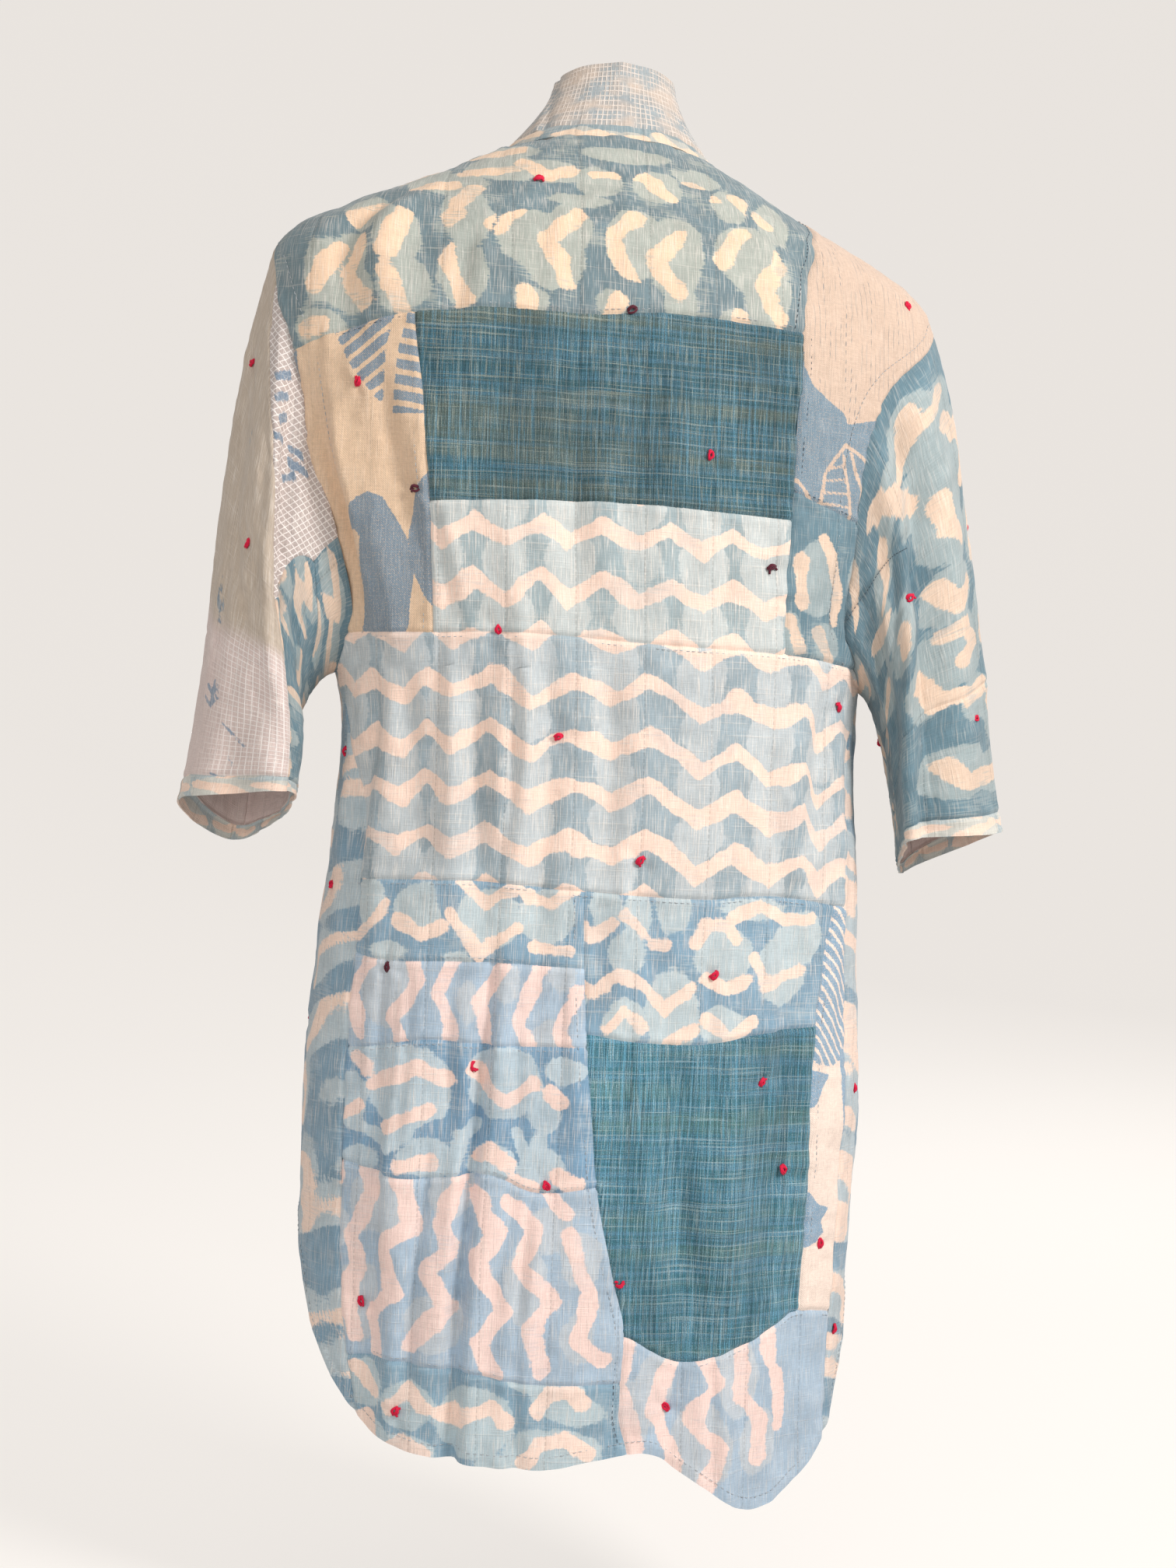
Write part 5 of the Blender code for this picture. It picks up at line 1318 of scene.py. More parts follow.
def leaf_cloth(name, cream, denim, kantha):
    """Twill with woven blue leaves, or with small grey running stitches."""
    dye = Dye(name)
    edge = dye.sum("MULTIPLY_ADD", dye.noise(420, 420, 2.0, 1.9), 2.0, -1.0)
    edge = dye.sum("MULTIPLY_ADD", dye.noise(1300, 500, 1.0, 4.9), 1.2, dye.sum("SUBTRACT", edge, 0.6))
    blue = dye.band(dye.sum("ADD", dye.field("motif"), edge), -0.35, 0.35)
    speck = dye.band(dye.noise(1000, 800, 1.0, 7.1), 0.55, 0.72)
    dark = dye.mix(dye.sum("MULTIPLY", speck, 0.42), denim, cream)
    x, y = dye.axes()
    light = cream
    if kantha:
        column = dye.sum("MULTIPLY_ADD", dye.noise(50, 8, 1.0, 2.2), 3.0, x)
        row = dye.sum("MULTIPLY_ADD", dye.noise(150, 3, 0.0, 5.2), 260.0, y)
        dash = dye.sum("MULTIPLY", dye.band(dye.sum("PINGPONG", column, 2.6), 0.55, 0.25), dye.band(dye.sum("PINGPONG", row, 6.5), 3.6, 2.6))
        dash = dye.sum("MULTIPLY", dash, dye.band(dye.noise(60, 30, 1.0, 3.8), 0.44, 0.58))
        light = dye.mix(dye.sum("MULTIPLY", dash, 0.80), cream, rgb(118, 122, 126))
    wave = dye.sum("SINE", dye.sum("MULTIPLY", dye.sum("ADD", y, dye.sum("MULTIPLY", dye.sum("PINGPONG", x, 9.0), 0.9)), 1.05))
    light = dye.scale(light, dye.sum("MULTIPLY_ADD", wave, 0.016, 1.0))
    twill = dye.sum("SINE", dye.sum("MULTIPLY", dye.sum("ADD", y, dye.sum("MULTIPLY", x, 1.0)), 3.4))
    colour = dye.mix(dye.sum("MULTIPLY", blue, 0.97), light, dark)
    colour = dye.scale(colour, dye.sum("MULTIPLY_ADD", twill, 0.018, 1.0))
    colour, height = finish_weave(dye, colour, 0.12, rgb(248, 238, 226), 0.8, 0.4)
    height = dye.sum("MULTIPLY_ADD", twill, 0.10, height)
    return dye.finish(colour, height)


def slub_cloth(name, top, low, grid_share, motif_colour, turned=0.0, fade=(250.0, 330.0), pitch=4.6):
    """Fine pale cloth, with a woven grid that shows where the share says."""
    dye = Dye(name)
    x, y = dye.axes()
    share = dye.band(dye.sum("MULTIPLY_ADD", dye.noise(14, 14, 1.0, 3.0), 40.0, y), *fade)
    colour = dye.mix(share, top, low)
    if turned:
        c, s = math.cos(turned), math.sin(turned)
        u = dye.sum("ADD", dye.sum("MULTIPLY", x, c), dye.sum("MULTIPLY", y, s))
        v = dye.sum("SUBTRACT", dye.sum("MULTIPLY", y, c), dye.sum("MULTIPLY", x, s))
    else:
        u, v = x, y
    lines = dye.sum("MAXIMUM", dye.band(dye.sum("PINGPONG", u, pitch / 2), 0.55, 0.25), dye.band(dye.sum("PINGPONG", v, pitch / 2), 0.55, 0.25))
    near = dye.band(dye.sum("MULTIPLY_ADD", dye.noise(30, 8, 1.0, 1.0), 24.0, x), 40.0, 84.0) if not turned else 1.0
    lines = dye.sum("MULTIPLY", lines, dye.sum("MULTIPLY", near, dye.sum("MULTIPLY_ADD", share, grid_share, 0.0) if not turned else grid_share))
    cloud = dye.noise(26, 5, 2.0, 7.0)
    colour = dye.scale(colour, dye.sum("MULTIPLY_ADD", cloud, 0.16, 0.92))
    colour = dye.mix(lines, colour, rgb(250, 244, 240))
    edge = dye.sum("MULTIPLY_ADD", dye.noise(500, 260, 2.0, 1.9), 2.2, -1.2)
    mark = dye.band(dye.sum("ADD", dye.field("motif"), edge), -0.4, 0.5)
    colour = dye.mix(dye.sum("MULTIPLY", mark, 0.8), colour, motif_colour)
    colour, height = finish_weave(dye, colour, 0.28, rgb(250, 244, 236), 0.9, 0.5)
    height = dye.sum("MULTIPLY_ADD", lines, 0.4, height)
    return dye.finish(colour, height)


def collar_cloth(name):
    """Windowpane cloth with pale loose threads and patches of worn blue."""
    dye = Dye(name)
    x, y = dye.axes()
    u = dye.sum("MULTIPLY_ADD", dye.noise(40, 8, 1.0, 1.0), 2.2, x)
    v = dye.sum("MULTIPLY_ADD", dye.noise(8, 40, 1.0, 2.0), 2.2, y)
    columns = dye.band(dye.sum("PINGPONG", u, 2.3), 0.95, 0.30)
    rows = dye.band(dye.sum("PINGPONG", v, 2.6), 0.95, 0.30)
    colour = dye.mix(dye.band(dye.noise(26, 50, 2.0, 5.0), 0.30, 0.70), rgb(204, 188, 174), rgb(162, 172, 176))
    colour = dye.mix(dye.sum("MULTIPLY", dye.band(dye.noise(16, 60, 2.0, 9.0), 0.46, 0.76), 0.55), colour, rgb(138, 154, 162))
    lines = dye.sum("MAXIMUM", columns, rows)
    lines = dye.sum("MULTIPLY", lines, dye.band(dye.noise(90, 90, 1.0, 4.0), 0.26, 0.56))
    colour = dye.mix(dye.sum("MULTIPLY", lines, 0.80), colour, rgb(236, 224, 213))
    mark = dye.band(dye.field("motif"), -0.3, 0.4)
    colour = dye.mix(dye.sum("MULTIPLY", mark, 0.75), colour, rgb(104, 126, 148))
    colour, height = finish_weave(dye, colour, 0.25, rgb(240, 230, 220), 1.2, 0.6)
    height = dye.sum("MULTIPLY_ADD", lines, 0.8, height)
    return dye.finish(colour, height)


def plain(name, colour, rough=0.8, sheen=0.3):
    dye = Dye(name)
    spread = dye.put("ShaderNodeTexCoord").outputs["Object"]
    grain = dye.put("ShaderNodeTexNoise", {"Vector": spread, "Scale": 900.0, "Detail": 1.0}).outputs[0]
    return dye.finish(dye.scale(colour, dye.sum("MULTIPLY_ADD", grain, 0.9, 0.55)), grain, rough, sheen, 0.0004)


CREAM, PINK = rgb(240, 210, 182), rgb(247, 223, 210)
CLOTHS = {
    "yoke": printed("yoke_print", rgb(114, 134, 141), rgb(174, 180, 172), rgb(240, 208, 178), 1.5, 0.34),
    "chevron": printed("chevron_print", rgb(158, 174, 182), rgb(192, 200, 203), rgb(250, 220, 202), 0.7, 0.44, 0.25),
    "chevron_upper": printed("chevron_upper_print", rgb(162, 178, 182), rgb(196, 203, 202), rgb(250, 220, 202), 0.8, 0.48, 0.25),
    "band": printed("band_print", rgb(132, 162, 182), rgb(190, 204, 208), rgb(250, 222, 204), 0.8, 0.38),
    "zigzag": printed("zigzag_print", rgb(170, 190, 207), rgb(194, 204, 212), rgb(250, 220, 210), 0.5, 0.28),
    "print_left": printed("print_left_print", rgb(124, 158, 184), rgb(186, 203, 212), rgb(250, 220, 207), 0.7, 0.36),
    "hem": printed("hem_print", rgb(136, 166, 184), rgb(186, 203, 209), rgb(252, 224, 208), 0.5, 0.32),
    "arm": printed("arm_print", rgb(104, 132, 144), rgb(158, 172, 174), rgb(226, 200, 178), 1.1, 0.18, 0.16, rgb(226, 206, 200)),
    "front": printed("front_print", rgb(128, 156, 174), rgb(182, 196, 202), rgb(246, 218, 200), 0.8, 0.32),
    "cuff": printed("cuff_print", rgb(176, 188, 190), rgb(206, 206, 198), rgb(244, 214, 194), 0.8, 0.28),
    "band_neck": printed("neck_print", rgb(140, 158, 164), rgb(190, 190, 182), rgb(240, 212, 186), 1.0, 0.28),
    "teal": teal_cloth("teal_slub", rgb(54, 92, 102), rgb(72, 112, 130), rgb(100, 110, 98), rgb(172, 178, 166)),
    "teal_low": teal_cloth("teal_grid", rgb(64, 116, 130), rgb(86, 134, 156), rgb(94, 130, 124), rgb(190, 210, 212)),
    "leaf_left": leaf_cloth("twill_leaf", rgb(222, 193, 164), rgb(124, 143, 158), False),
    "leaf_right": leaf_cloth("stitched_leaf", rgb(210, 186, 167), rgb(120, 144, 160), True),
    "leaf_strip": leaf_cloth("strip_leaf", rgb(246, 226, 212), rgb(136, 168, 192), False),
    "slub": slub_cloth("greige_slub", rgb(192, 178, 162), rgb(214, 196, 190), 0.75, rgb(104, 130, 150), 0.0, (285.0, 318.0)),
    "slub_low": slub_cloth("pink_slub", rgb(192, 178, 162), rgb(214, 196, 190), 0.75, rgb(112, 140, 164), 0.0, (285.0, 318.0)),
    "grid": slub_cloth("diagonal_grid", rgb(188, 175, 170), rgb(188, 175, 170), 0.85, rgb(100, 132, 158), 0.62),
    "collar": collar_cloth("collar_grid"),
}
LOOKS = {  # node: material, record slot
    "back_yoke": ("yoke", "print"), "back_leaf_right": ("leaf_right", "leaf"), "back_side_right": ("arm", "print"),
    "back_teal_upper": ("teal", "teal"), "back_chevron_upper": ("chevron_upper", "chevron"), "back_leaf_left": ("leaf_left", "twill"),
    "back_chevron_lower": ("chevron", "chevron"), "back_band_left": ("band", "print"), "back_zigzag_left": ("zigzag", "zigzag"),
    "back_print_left": ("print_left", "print"), "back_zigzag_low": ("zigzag", "zigzag"), "back_hem_left": ("hem", "print"),
    "back_band_right": ("band", "print"), "back_teal_lower": ("teal_low", "teal"), "back_strip_right": ("leaf_strip", "leaf"),
    "back_hem_right": ("zigzag", "zigzag"), "front_left": ("front", "print"), "front_right": ("front", "print"),
    "sleeve_left_upper": ("slub", "slub"), "sleeve_left_lower": ("slub_low", "grid"), "sleeve_left_back": ("grid", "grid"),
    "sleeve_left_under": ("arm", "print"), "sleeve_left_low": ("arm", "print"), "sleeve_left_hem": ("cuff", "print"),
    "sleeve_right_upper": ("arm", "print"), "sleeve_right_lower": ("arm", "print"), "sleeve_right_under": ("arm", "print"),
    "sleeve_right_low": ("arm", "print"), "sleeve_right_hem": ("cuff", "print"), "neckband": ("band_neck", "print"), "collar": ("collar", "collar"),
}


# ------------------------------------------------------------ assembly
CELLS = {
    "back_leaf_left": 0.0022, "back_leaf_right": 0.0022, "back_strip_right": 0.0020,
    "front_left": 0.0045, "front_right": 0.0045, "collar": 0.0025, "neckband": 0.0025, "sleeve_left_back": 0.0014,
}


def measured(points, ring=False):
    """Greatest width and length of the plain grid, and its area, in metres."""
    closed = np.concatenate([points, points[:, :1]], 1) if ring else points
    wide = np.linalg.norm(np.diff(closed, axis=1), axis=-1).sum(1).max()
    long = np.linalg.norm(np.diff(closed, axis=0), axis=-1).sum(0).max()
    a, b = np.diff(closed[:-1], axis=1), np.diff(closed[:, :-1], axis=0)
    area = np.linalg.norm(np.cross(a, b), axis=-1).sum()
    return round(float(wide), 3), round(float(long), 3), float(area)


PIECES = {}
FLAT = {}


def place(name, obj, size):
    look, slot = LOOKS[name]
    obj.data.materials.append(CLOTHS[look])
    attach(obj, "root")
    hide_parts(name)
    PIECES[name] = obj
    FLAT[name] = size


for name, right, left, top, bottom, cloth in BODY_PIECES:
    if name == "front_left":
        right, left = "front_left", "front_edge_left"
    u, drop = body_grid(right, left, top, bottom, CELLS.get(name, THREAD))
    plain_points = body(u, drop)
    like = facing(body, u, drop, 1)
    push = body_relief(u, drop) + body_seams(u, drop, right, left, top, bottom)
    middle = plain_points + like * push[..., None]
    a, d = u * half_girth(drop), way(drop)
    px, py = a, d
    if name.startswith("front"):  # printed before it was cut, straight across the front
        px = plain_points[..., 0] + 0.9 * np.sign(u) * np.abs(plain_points[..., 1] + 0.118)
        py = -plain_points[..., 2] + 0.35 * np.abs(plain_points[..., 1] + 0.118)
    obj = shell(name + "_cloth", middle, like, False, (a, d), print_of(name, 1000 * px, 1000 * py))
    place(name, obj, measured(plain_points))

ARM_ROUND, ARM_LONG = 0.440, 0.430  # a sleeve's middle girth and its length, for the print


# The left sleeve's seams run aslant. Where its back seam lies round the sleeve
# at each share of its length, and how far the seam behind the armhole moves
# along the sleeve at each turn.
BACK_SEAM = ((0.00, 30), (0.10, 38), (0.15, 53), (0.20, 64), (0.26, 72), (0.37, 79), (0.50, 79), (0.64, 88), (1.00, 87))
LOW_SEAM = ((30, 0.00), (75, 0.11), (88, 0.05), (104, -0.12), (120, -0.29), (165, -0.12), (210, 0.00))


def settled(side, turn, run):
    """Where a point of the sleeve's straight grid lies once its seams run aslant."""
    if side < 0:
        return turn, run
    rise = np.interp(turn, *np.array(LOW_SEAM, float).T)
    run = run + rise * np.interp(run, [0.0, 0.4, 0.7], [0.0, 1.0, 0.0])
    seam = np.interp(run, *np.array(BACK_SEAM, float).T)
    before = -105 + (turn + 105) * (seam + 105) / 180
    behind = seam + (turn - 75) * (120 - seam) / 45
    return np.where(turn < 75, before, np.where(turn < 120, behind, turn)), run


ASLANT = ((172, 0), (131, 67), (93, 131))  # the right sleeve's slanting tuck, in mm

for name, side, near, far, start, end, cloth in SLEEVE_PIECES:
    table, cuffs = (ARMHOLE_LEFT, CUFF_LEFT) if side > 0 else (ARMHOLE_RIGHT, CUFF_RIGHT)
    ring = far - near == 360
    if ring:
        turns = np.linspace(near, far, 139)[:-1]
    else:
        turns = near + (far - near) * shares((far - near) / 360 * ARM_ROUND, CELLS.get(name, THREAD))
    runs = start + (end - start) * shares((end - start) * ARM_LONG, CELLS.get(name, THREAD))
    if start == 0:
        runs[0] = -0.010
    turn, run = settled(side, *np.meshgrid(turns, runs)) if not ring else np.meshgrid(turns, runs)

    def steady(a, b, table=table, cuffs=cuffs, side=side):
        return sleeve(table, cuffs, side, np.asarray(a) * 100.0, b)

    plain_points = steady(turn / 100.0, run)
    like = facing(steady, turn / 100.0, run, -side)
    around_mm = turn / 360 * ARM_ROUND

    def gap(centre, turn=turn):
        return ((turn - centre + 180) % 360 - 180) / 360 * ARM_ROUND

    push = crease_push(SLEEVE_CREASES[side], gap, run, 1.0, 300 * side + 700, 0.004)
    push = push * ease(run, -0.004, 0.10)
    push += 0.0011 * wander(around_mm, 0.4 * run * ARM_LONG, 0.045, 21) * ease(run, 0, 0.1)
    push += 0.0006 * wander(around_mm, 0.3 * run * ARM_LONG, 0.013, 22) + 0.0003 * wander(around_mm, run * ARM_LONG, 0.006, 23)
    dents = [(gap(kt), (run - kr) * ARM_LONG) for kt, kr, _, _ in SLEEVE_KNOTS[side]]
    push += knot_dent(dents)
    if side < 0:
        off = off_path(1000 * around_mm, 1000 * run * ARM_LONG, ASLANT)
        push += -0.0026 * np.exp(-((off / 3.6) ** 2)) + 0.0012 * np.exp(-(((off - 8.0) / 4.0) ** 2))
    for seam_turn, edge_turn in (() if ring else ((near, turn[:, :1]), (far, turn[:, -1:]))):
        off = np.abs(gap(edge_turn))
        push += 0.7 * edge_relief("arm%d" % (seam_turn % 360), off, run * ARM_LONG, run + 2)
    for seam_run, edge_run in ((start, run[:1]), (end, run[-1:])):
        off = np.abs(run - edge_run) * ARM_LONG
        if seam_run == 1.0:
            push += 0.0007 * (1 - ease(off, 0.004, 0.006)) + 0.0012 * wander(around_mm, 0.0, 0.03, 33) * np.exp(-off / 0.03)
        elif seam_run > 0:
            share = 0.35 if side > 0 and seam_run == 0.7 else 0.8
            push += share * edge_relief("arm_run%d" % (100 * seam_run), off, around_mm, run + 2)
        else:
            push += 0.0022 * np.exp(-((off / 0.012) ** 2)) * np.exp(-(((turn - 130) / 26.0) ** 2)) * side
            push += -0.0007 * np.exp(-((off / 0.0026) ** 2)) + 0.0009 * wander(around_mm, 0.0, 0.008, 34) * np.exp(-off / 0.016) * ease(off, 0.0, 0.004)
    middle = plain_points + like * push[..., None]
    fields = print_of(name, 1000 * around_mm, 1000 * run * ARM_LONG)
    flat = (around_mm, run * ARM_LONG)
    if name == "sleeve_left_back":  # its woven grid stays straight behind the armhole
        flat = (plain_points[..., 0], -plain_points[..., 2])
    obj = shell(name + "_cloth", middle, like, ring, flat, fields)
    place(name, obj, measured(plain_points, ring))

NECK_ROUND, NECK_TALL = 0.42, 0.080
for name, start, end in (("neckband", 0.0, BAND_TOP), ("collar", BAND_TOP, 1.0)):
    us = -FRONT_EDGE + 2 * FRONT_EDGE * shares(NECK_ROUND, 0.0028)
    rises = start + (end - start) * shares((end - start) * NECK_TALL, 0.0025)
    u, rise = np.meshgrid(us, rises)
    plain_points = collar(u, rise)
    like = facing(collar, u, rise, -1)
    a, d = u * NECK_ROUND / 2, (1 - rise) * NECK_TALL
    push = 0.0008 * wander(a, 0.5 * d, 0.035, 51) + 0.0004 * wander(a, d, 0.012, 52)
    edge = np.abs(rise - BAND_TOP) * NECK_TALL
    push += -0.0012 * np.exp(-((edge / 0.0018) ** 2)) + 0.0007 * wander(a, 0.0, 0.007, 53) * np.exp(-edge / 0.012)
    seam = rise * NECK_TALL
    push += -0.0009 * np.exp(-((seam / 0.0018) ** 2)) + 0.0006 * wander(a, 0.0, 0.008, 54) * np.exp(-seam / 0.012)
    if name == "collar":
        top = (1 - rise) * NECK_TALL
        push += 0.0005 * (1 - ease(top, 0.0055, 0.0070)) - 0.0004 * np.exp(-(((top - 0.006) / 0.001) ** 2))
        fold = (a - 0.078 + 0.25 * (d - 0.03)) / 0.005
        push -= 0.0016 * np.exp(-fold * fold) - 0.0012 * np.exp(-((fold - 1.8) ** 2))
    middle = plain_points + like * push[..., None]
    obj = shell(name + "_cloth", middle, like, False, (a, d), print_of(name, 1000 * a, 1000 * d))
    place(name, obj, measured(plain_points))


# ------------------------------------------------------ knots and stitches
def skin_body(u, drop, lift):
    u, drop = np.asarray(u, float), np.asarray(drop, float)
    n = facing(body, u, drop, 1)
    return body(u, drop) + n * (body_relief(u, drop) + WALL / 2 + lift)[..., None], n


def skin_sleeve(side, turn, run, lift):
    table, cuffs = (ARMHOLE_LEFT, CUFF_LEFT) if side > 0 else (ARMHOLE_RIGHT, CUFF_RIGHT)
    turn, run = np.asarray(turn, float), np.asarray(run, float)

    def steady(a, b):
        return sleeve(table, cuffs, side, np.asarray(a) * 100.0, b)

    n = facing(steady, turn / 100.0, run, -side)

    def gap(centre):
        return ((turn - centre + 180) % 360 - 180) / 360 * ARM_ROUND

    push = crease_push(SLEEVE_CREASES[side], gap, run, 1.0, 300 * side + 700, 0.004) * ease(run, -0.004, 0.10)
    push = push + knot_dent([(gap(kt), (run - kr) * ARM_LONG) for kt, kr, _, _ in SLEEVE_KNOTS[side]])
    return steady(turn / 100.0, run) + n * (push + WALL / 2 + lift)[..., None], n


def tube(path, normals, radius, sides, first):
    """Points and faces of a short closed tube along a path."""
    path = np.asarray(path, float)
    tangent = np.gradient(path, axis=0)
    tangent /= np.linalg.norm(tangent, axis=1, keepdims=True) + 1e-9
    b = np.cross(tangent, normals)
    b /= np.linalg.norm(b, axis=1, keepdims=True) + 1e-9
    n = np.cross(b, tangent)
    k = np.arange(sides) * 2 * math.pi / sides
    radius = np.broadcast_to(radius, len(path))[:, None, None]
    rings = path[:, None] + radius * (np.cos(k)[None, :, None] * n[:, None] + np.sin(k)[None, :, None] * b[:, None])
    points = rings.reshape(-1, 3)
    faces = []
    for i in range(len(path) - 1):
        for j in range(sides):
            p, q = i * sides + j, i * sides + (j + 1) % sides
            faces.append((first + p, first + q, first + q + sides, first + p + sides))
    faces.append(tuple(first + j for j in range(sides))[::-1])
    faces.append(tuple(first + (len(path) - 1) * sides + j for j in range(sides)))
    return points, faces


def joined(name, tubes, material):
    points, faces, count = [], [], 0
    for path, normals, radius, sides in tubes:
        p, f = tube(path, normals, radius, sides, count)
        points.append(p)
        faces += f
        count += len(p)
    mesh = bpy.data.meshes.new(name)
    mesh.from_pydata(np.concatenate(points).tolist(), [], faces)
    mesh.shade_smooth()
    obj = bpy.data.objects.new(name, mesh)
    bpy.context.scene.collection.objects.link(obj)
    obj.data.materials.append(material)
    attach(obj, "root")
    return obj


def knot(point, normal, angle, dice, size):
    """A few loops of thick thread, tied and cut short."""
    across = np.cross([0.0, 0.0, 1.0], normal)
    across /= np.linalg.norm(across)
    up = np.cross(normal, across)
    c, s = math.cos(math.radians(angle)), math.sin(math.radians(angle))
    e, f = c * across + s * up, c * up - s * across
    tubes = []
    for k in range(6):
        if k < 4:
            t = np.linspace(0, 1, 7)
            lie = dice.uniform(-0.5, 0.5)
            x = size * (t - 0.5) * dice.uniform(0.75, 1.1)
            y = size * (0.26 * np.sin(math.pi * t + lie) * dice.choice([-1, 1]) + dice.uniform(-0.12, 0.12))
            z = 0.0010 + 0.0018 * np.sin(math.pi * t) * dice.uniform(0.5, 1.2)
        else:
            t = np.linspace(0, 1, 5)
            out = size * (0.30 + 0.42 * t) * (1 if k == 4 else -1)
            x, y = 0.7 * out, out * dice.uniform(-0.7, 0.7) + 0.1 * size * np.sin(5 * t)
            z = 0.0008 + 0.0007 * (1 - t)
        path = point + x[:, None] * e + y[:, None] * f + z[:, None] * normal
        tubes.append((path, np.tile(normal, (len(path), 1)), 0.00105, 8))
    return tubes


dice = np.random.default_rng(4)
reds, darks = [], []
for u, drop, dark, angle in BODY_KNOTS:
    point, normal = skin_body(u, drop, 0.0)
    (darks if dark else reds).extend(knot(point, normal, angle, dice, 0.0080))
for side, rows in SLEEVE_KNOTS.items():
    for turn, run, dark, angle in rows:
        point, normal = skin_sleeve(side, turn, run, 0.0)
        (darks if dark else reds).extend(knot(point, normal, angle, dice, 0.0080))
joined("knots_red", reds, plain("red_thread", rgb(214, 24, 66), 0.7, 0.1))
joined("knots_dark", darks, plain("dark_thread", rgb(84, 22, 40)))


def seam_stitches(path_u, path_drop, offset_u, offset_d, every=0.0052, long=0.0030, lift=0.0004):
    """Running stitches beside a line given by u and drop."""
    girth = half_girth(path_drop)
    step = np.hypot(np.diff(path_u * girth), np.diff(way(path_drop)))
    reach = np.concatenate([[0.0], np.cumsum(step)])
    tubes = []
    for start in np.arange(0.002, reach[-1] - long, every):
        s = start + long * np.linspace(0, 1, 4)
        u = np.interp(s, reach, path_u) + offset_u
        drop = np.interp(s, reach, path_drop) + offset_d
        points, normals = skin_body(u, drop, lift - 0.0006 * np.array([1, 0, 0, 1]))
        tubes.append((points, normals, 0.00030, 5))
    return tubes


def down_path(line, high, low):
    drop = np.linspace(high, low, 160)
    return line_u(line, drop), drop


def across_path(line, near, far):
    u = np.linspace(near, far, 160)
    return u, line_drop(line, u)


DARK_SEAMS = (
    ("down", "yoke_right", 0.048, 0.166, 0.012, 0.0), ("down", "teal_right", 0.168, 0.300, -0.010, 0.0),
    ("down", "middle", 1.044, 1.128, 0.010, 0.0), ("down", "strip", 0.672, 0.690, 0.008, 0.0),
    ("across", "yoke", 0.256, 0.404, 0.0, 0.003), ("across", "leaf_right_bottom", -0.400, -0.228, 0.0, -0.003),
)
PALE_SEAMS = (
    ("across", "waist", -0.38, 0.40, 0.0, 0.0035), ("across", "chest", -0.40, 0.44, 0.0, 0.0035),
    ("across", "band_left_bottom", 0.04, 0.37, 0.0, -0.0035), ("across", "zigzag_bottom", 0.03, 0.37, 0.0, 0.0035),
    ("across", "print_bottom", 0.01, 0.37, 0.0, -0.0035), ("across", "low_bottom", -0.04, 0.33, 0.0, -0.0035),
    ("across", "teal_low_bottom", -0.38, -0.05, 0.0, 0.0035), ("down", "teal_left", 0.20, 0.44, 0.013, 0.0),
    ("down", "middle", 0.66, 1.04, 0.012, 0.0), ("down", "strip", 0.69, 1.02, -0.012, 0.0), ("across", "yoke", -0.21, 0.25, 0.0, -0.0035),
)


def seam_rows(table):
    tubes = []
    for kind, line, start, end, off_u, off_d in table:
        path = down_path(line, start, end) if kind == "down" else across_path(line, start, end)
        tubes += seam_stitches(*path, off_u, off_d)
    return tubes


aslant = np.array([(x + 3.0, y + 2.0) for x, y in ASLANT])
reach = np.concatenate([[0.0], np.cumsum(np.linalg.norm(np.diff(aslant, axis=0), axis=1))])
sleeve_rows = []
for first in np.arange(6.0, reach[-1] - 4.0, 5.4):
    s = first + 3.0 * np.linspace(0, 1, 4)
    x, y = (np.interp(s, reach, aslant[:, k]) for k in (0, 1))
    points, normals = skin_sleeve(-1, x / 1000 / ARM_ROUND * 360, y / 1000 / ARM_LONG, 0.0006)
    sleeve_rows.append((points, normals, 0.00032, 5))
joined("stitches_dark", seam_rows(DARK_SEAMS) + sleeve_rows, plain("stitch_dark", rgb(70, 84, 96)))
hem_rows = []
for start, end in ((-0.98, -0.02), (0.0, 0.98)):
    us = np.linspace(start, end, 400)
    hem_rows += seam_stitches(us, hem_drop(us) - 0.0105, 0.0, 0.0, 0.0052, 0.0030, 0.0012)
for side, line in ((1, "back_left"), (-1, "back_right")):
    path = down_path(line, 0.130, 0.455)
    hem_rows += seam_stitches(*path, -side * 0.032, 0.0, 0.0052, 0.0030, 0.0008)
joined("stitches_pale", seam_rows(PALE_SEAMS) + hem_rows, plain("stitch_pale", rgb(178, 184, 188)))

for name, obj in PIECES.items():
    wide, long, area = FLAT[name]
    cut = None if area > 0.985 * wide * long else min(area, wide * long)
    if cut is not None and cut < 0.31 * wide * long:
        long, cut = round(2 * area / wide, 3), area  # nearly a triangle

# ----------------------------------------------------- stage, light, camera
scene = bpy.context.scene
steps_out = np.array([(0.0, -1.300), (1.6, -1.300), (2.4, -1.290), (3.4, -1.18), (4.4, -0.80), (5.2, -0.10), (5.8, 0.9), (6.1, 2.2), (6.2, 4.5)])
turns = np.linspace(0, 2 * math.pi, 73)[:-1]
fine = np.linspace(0, len(steps_out) - 1, 60)
profile = np.stack([smooth(np.arange(len(steps_out)), steps_out[:, k].copy(), fine) for k in (0, 1)], -1)
profile[0, 0] = 0.001
rim = np.stack([np.outer(profile[:, 0], np.cos(turns)), np.outer(profile[:, 0], np.sin(turns)), np.repeat(profile[:, 1:], len(turns), 1)], -1)
faces = []
for i in range(len(profile) - 1):
    for j in range(len(turns)):
        k = (j + 1) % len(turns)
        faces.append((i * 72 + j, i * 72 + k, (i + 1) * 72 + k, (i + 1) * 72 + j))
bowl = bpy.data.meshes.new("studio")
bowl.from_pydata(rim.reshape(-1, 3).tolist(), [], faces)
bowl.shade_smooth()
studio = bpy.data.objects.new("studio", bowl)
scene.collection.objects.link(studio)
paper = bpy.data.materials.new("studio_paper")
paper.use_nodes = True
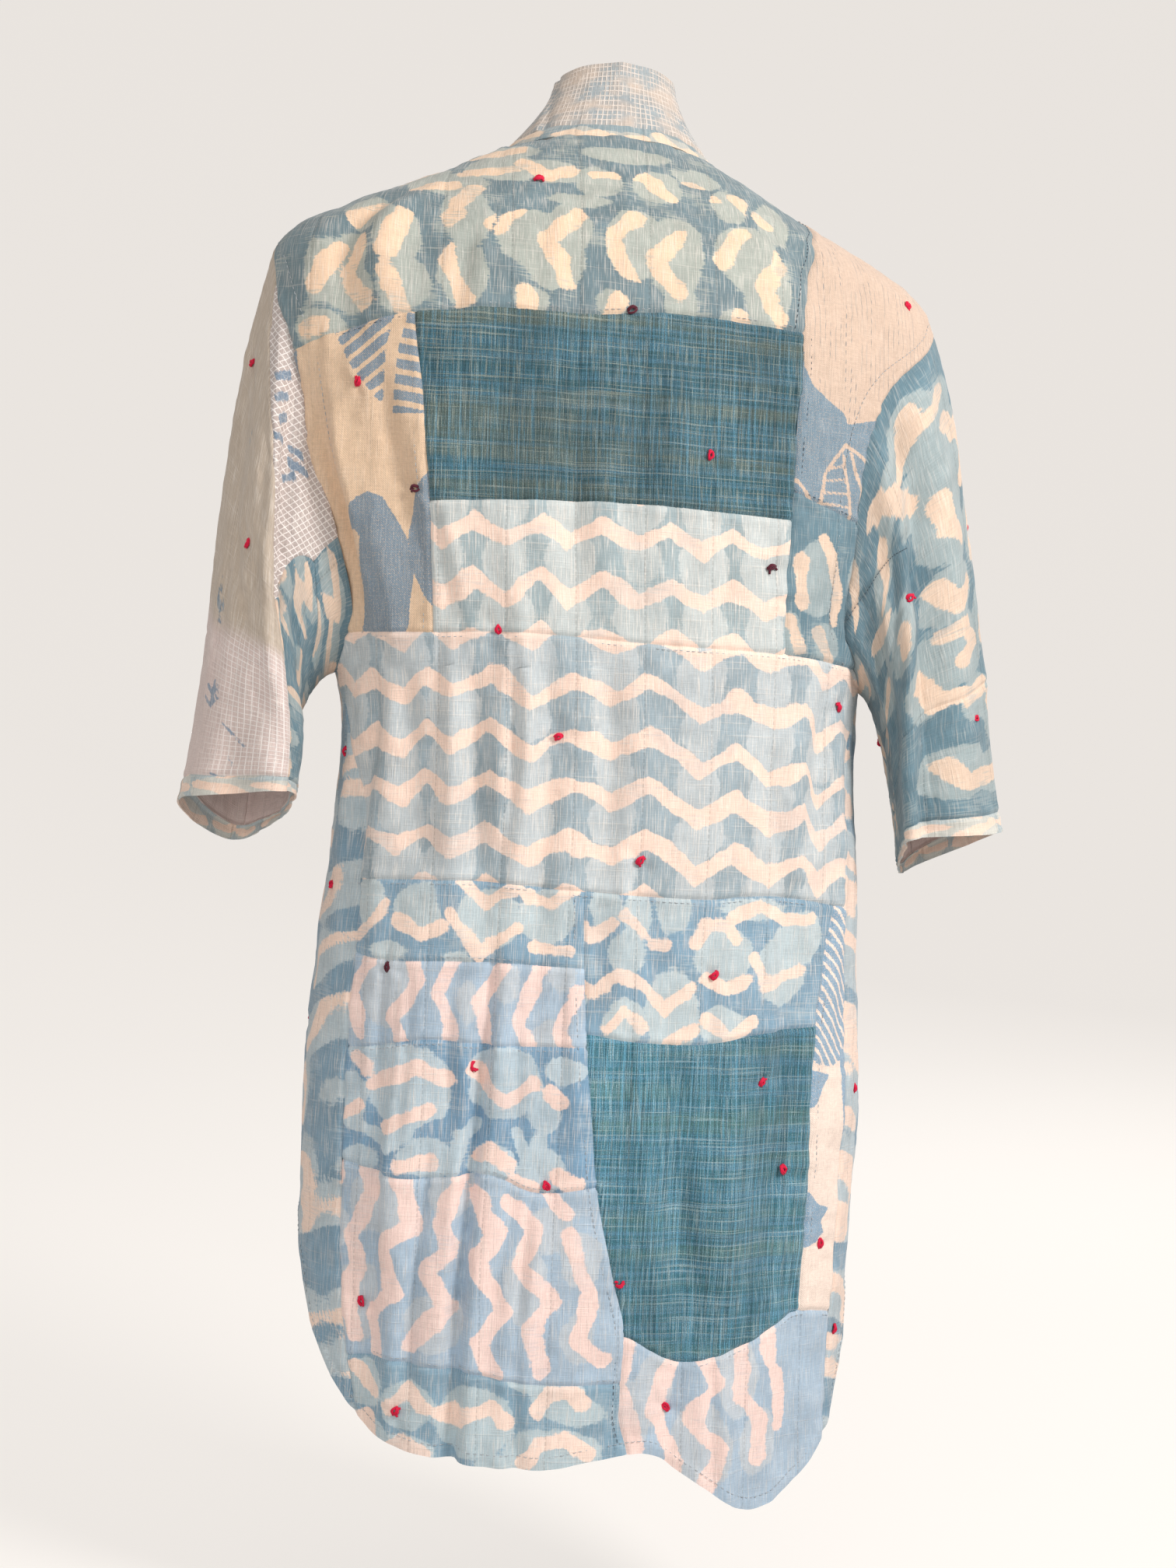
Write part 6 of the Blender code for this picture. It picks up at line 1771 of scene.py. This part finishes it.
skin = paper.node_tree.nodes["Principled BSDF"]
skin.inputs["Base Color"].default_value = rgb(170, 167, 163)
skin.inputs["Roughness"].default_value = 0.95
skin.inputs["Specular IOR Level"].default_value = 0.1
skin.inputs["Emission Color"].default_value = rgb(250, 246, 242)
skin.inputs["Emission Strength"].default_value = 0.60
bowl.materials.append(paper)
studio.visible_diffuse = False
studio.visible_glossy = False
studio.visible_shadow = False

world = bpy.data.worlds.new("pale")
scene.world = world
world.use_nodes = True
world.node_tree.nodes["Background"].inputs[0].default_value = rgb(255, 250, 246)
world.node_tree.nodes["Background"].inputs[1].default_value = 0.52

TARGET = Vector((0.0, 0.0, -0.565))
YAW, ROLL, FAR = math.radians(8.0), math.radians(2.0), 2.1
out = Vector((math.sin(YAW), math.cos(YAW), 0.0))
right = Vector((-out.y, out.x, 0.0))
up = Vector((0.0, 0.0, 1.0))


def lamp(name, right_by, up_by, toward, size, power, colour):
    light = bpy.data.lights.new(name, "AREA")
    light.shape = "DISK"
    light.size = size
    light.energy = power
    light.color = colour
    obj = bpy.data.objects.new(name, light)
    obj.location = TARGET + right * right_by + up * up_by + out * toward
    obj.rotation_euler = (TARGET - obj.location).to_track_quat("-Z", "Y").to_euler()
    scene.collection.objects.link(obj)


lamp("key", 2.0, 1.5, 1.6, 1.0, 66.0, (1.0, 0.965, 0.945))
lamp("fill", -0.9, 0.2, 3.0, 2.0, 22.0, (1.0, 0.98, 0.96))
lamp("front_key", 1.2, 1.4, -2.6, 2.0, 34.0, (1.0, 0.99, 0.97))

camera = bpy.data.objects.new("camera", bpy.data.cameras.new("camera"))
scene.collection.objects.link(camera)
across = right * math.cos(ROLL) + up * math.sin(ROLL)
above = up * math.cos(ROLL) - right * math.sin(ROLL)
turned = Matrix((across, above, out)).transposed().to_4x4()
turned.translation = TARGET + out * FAR
camera.matrix_world = turned
camera.data.sensor_width = 36.0
camera.data.lens = 53.73
camera.data.clip_end = 50.0
scene.camera = camera
scene.view_settings.view_transform = "Standard"
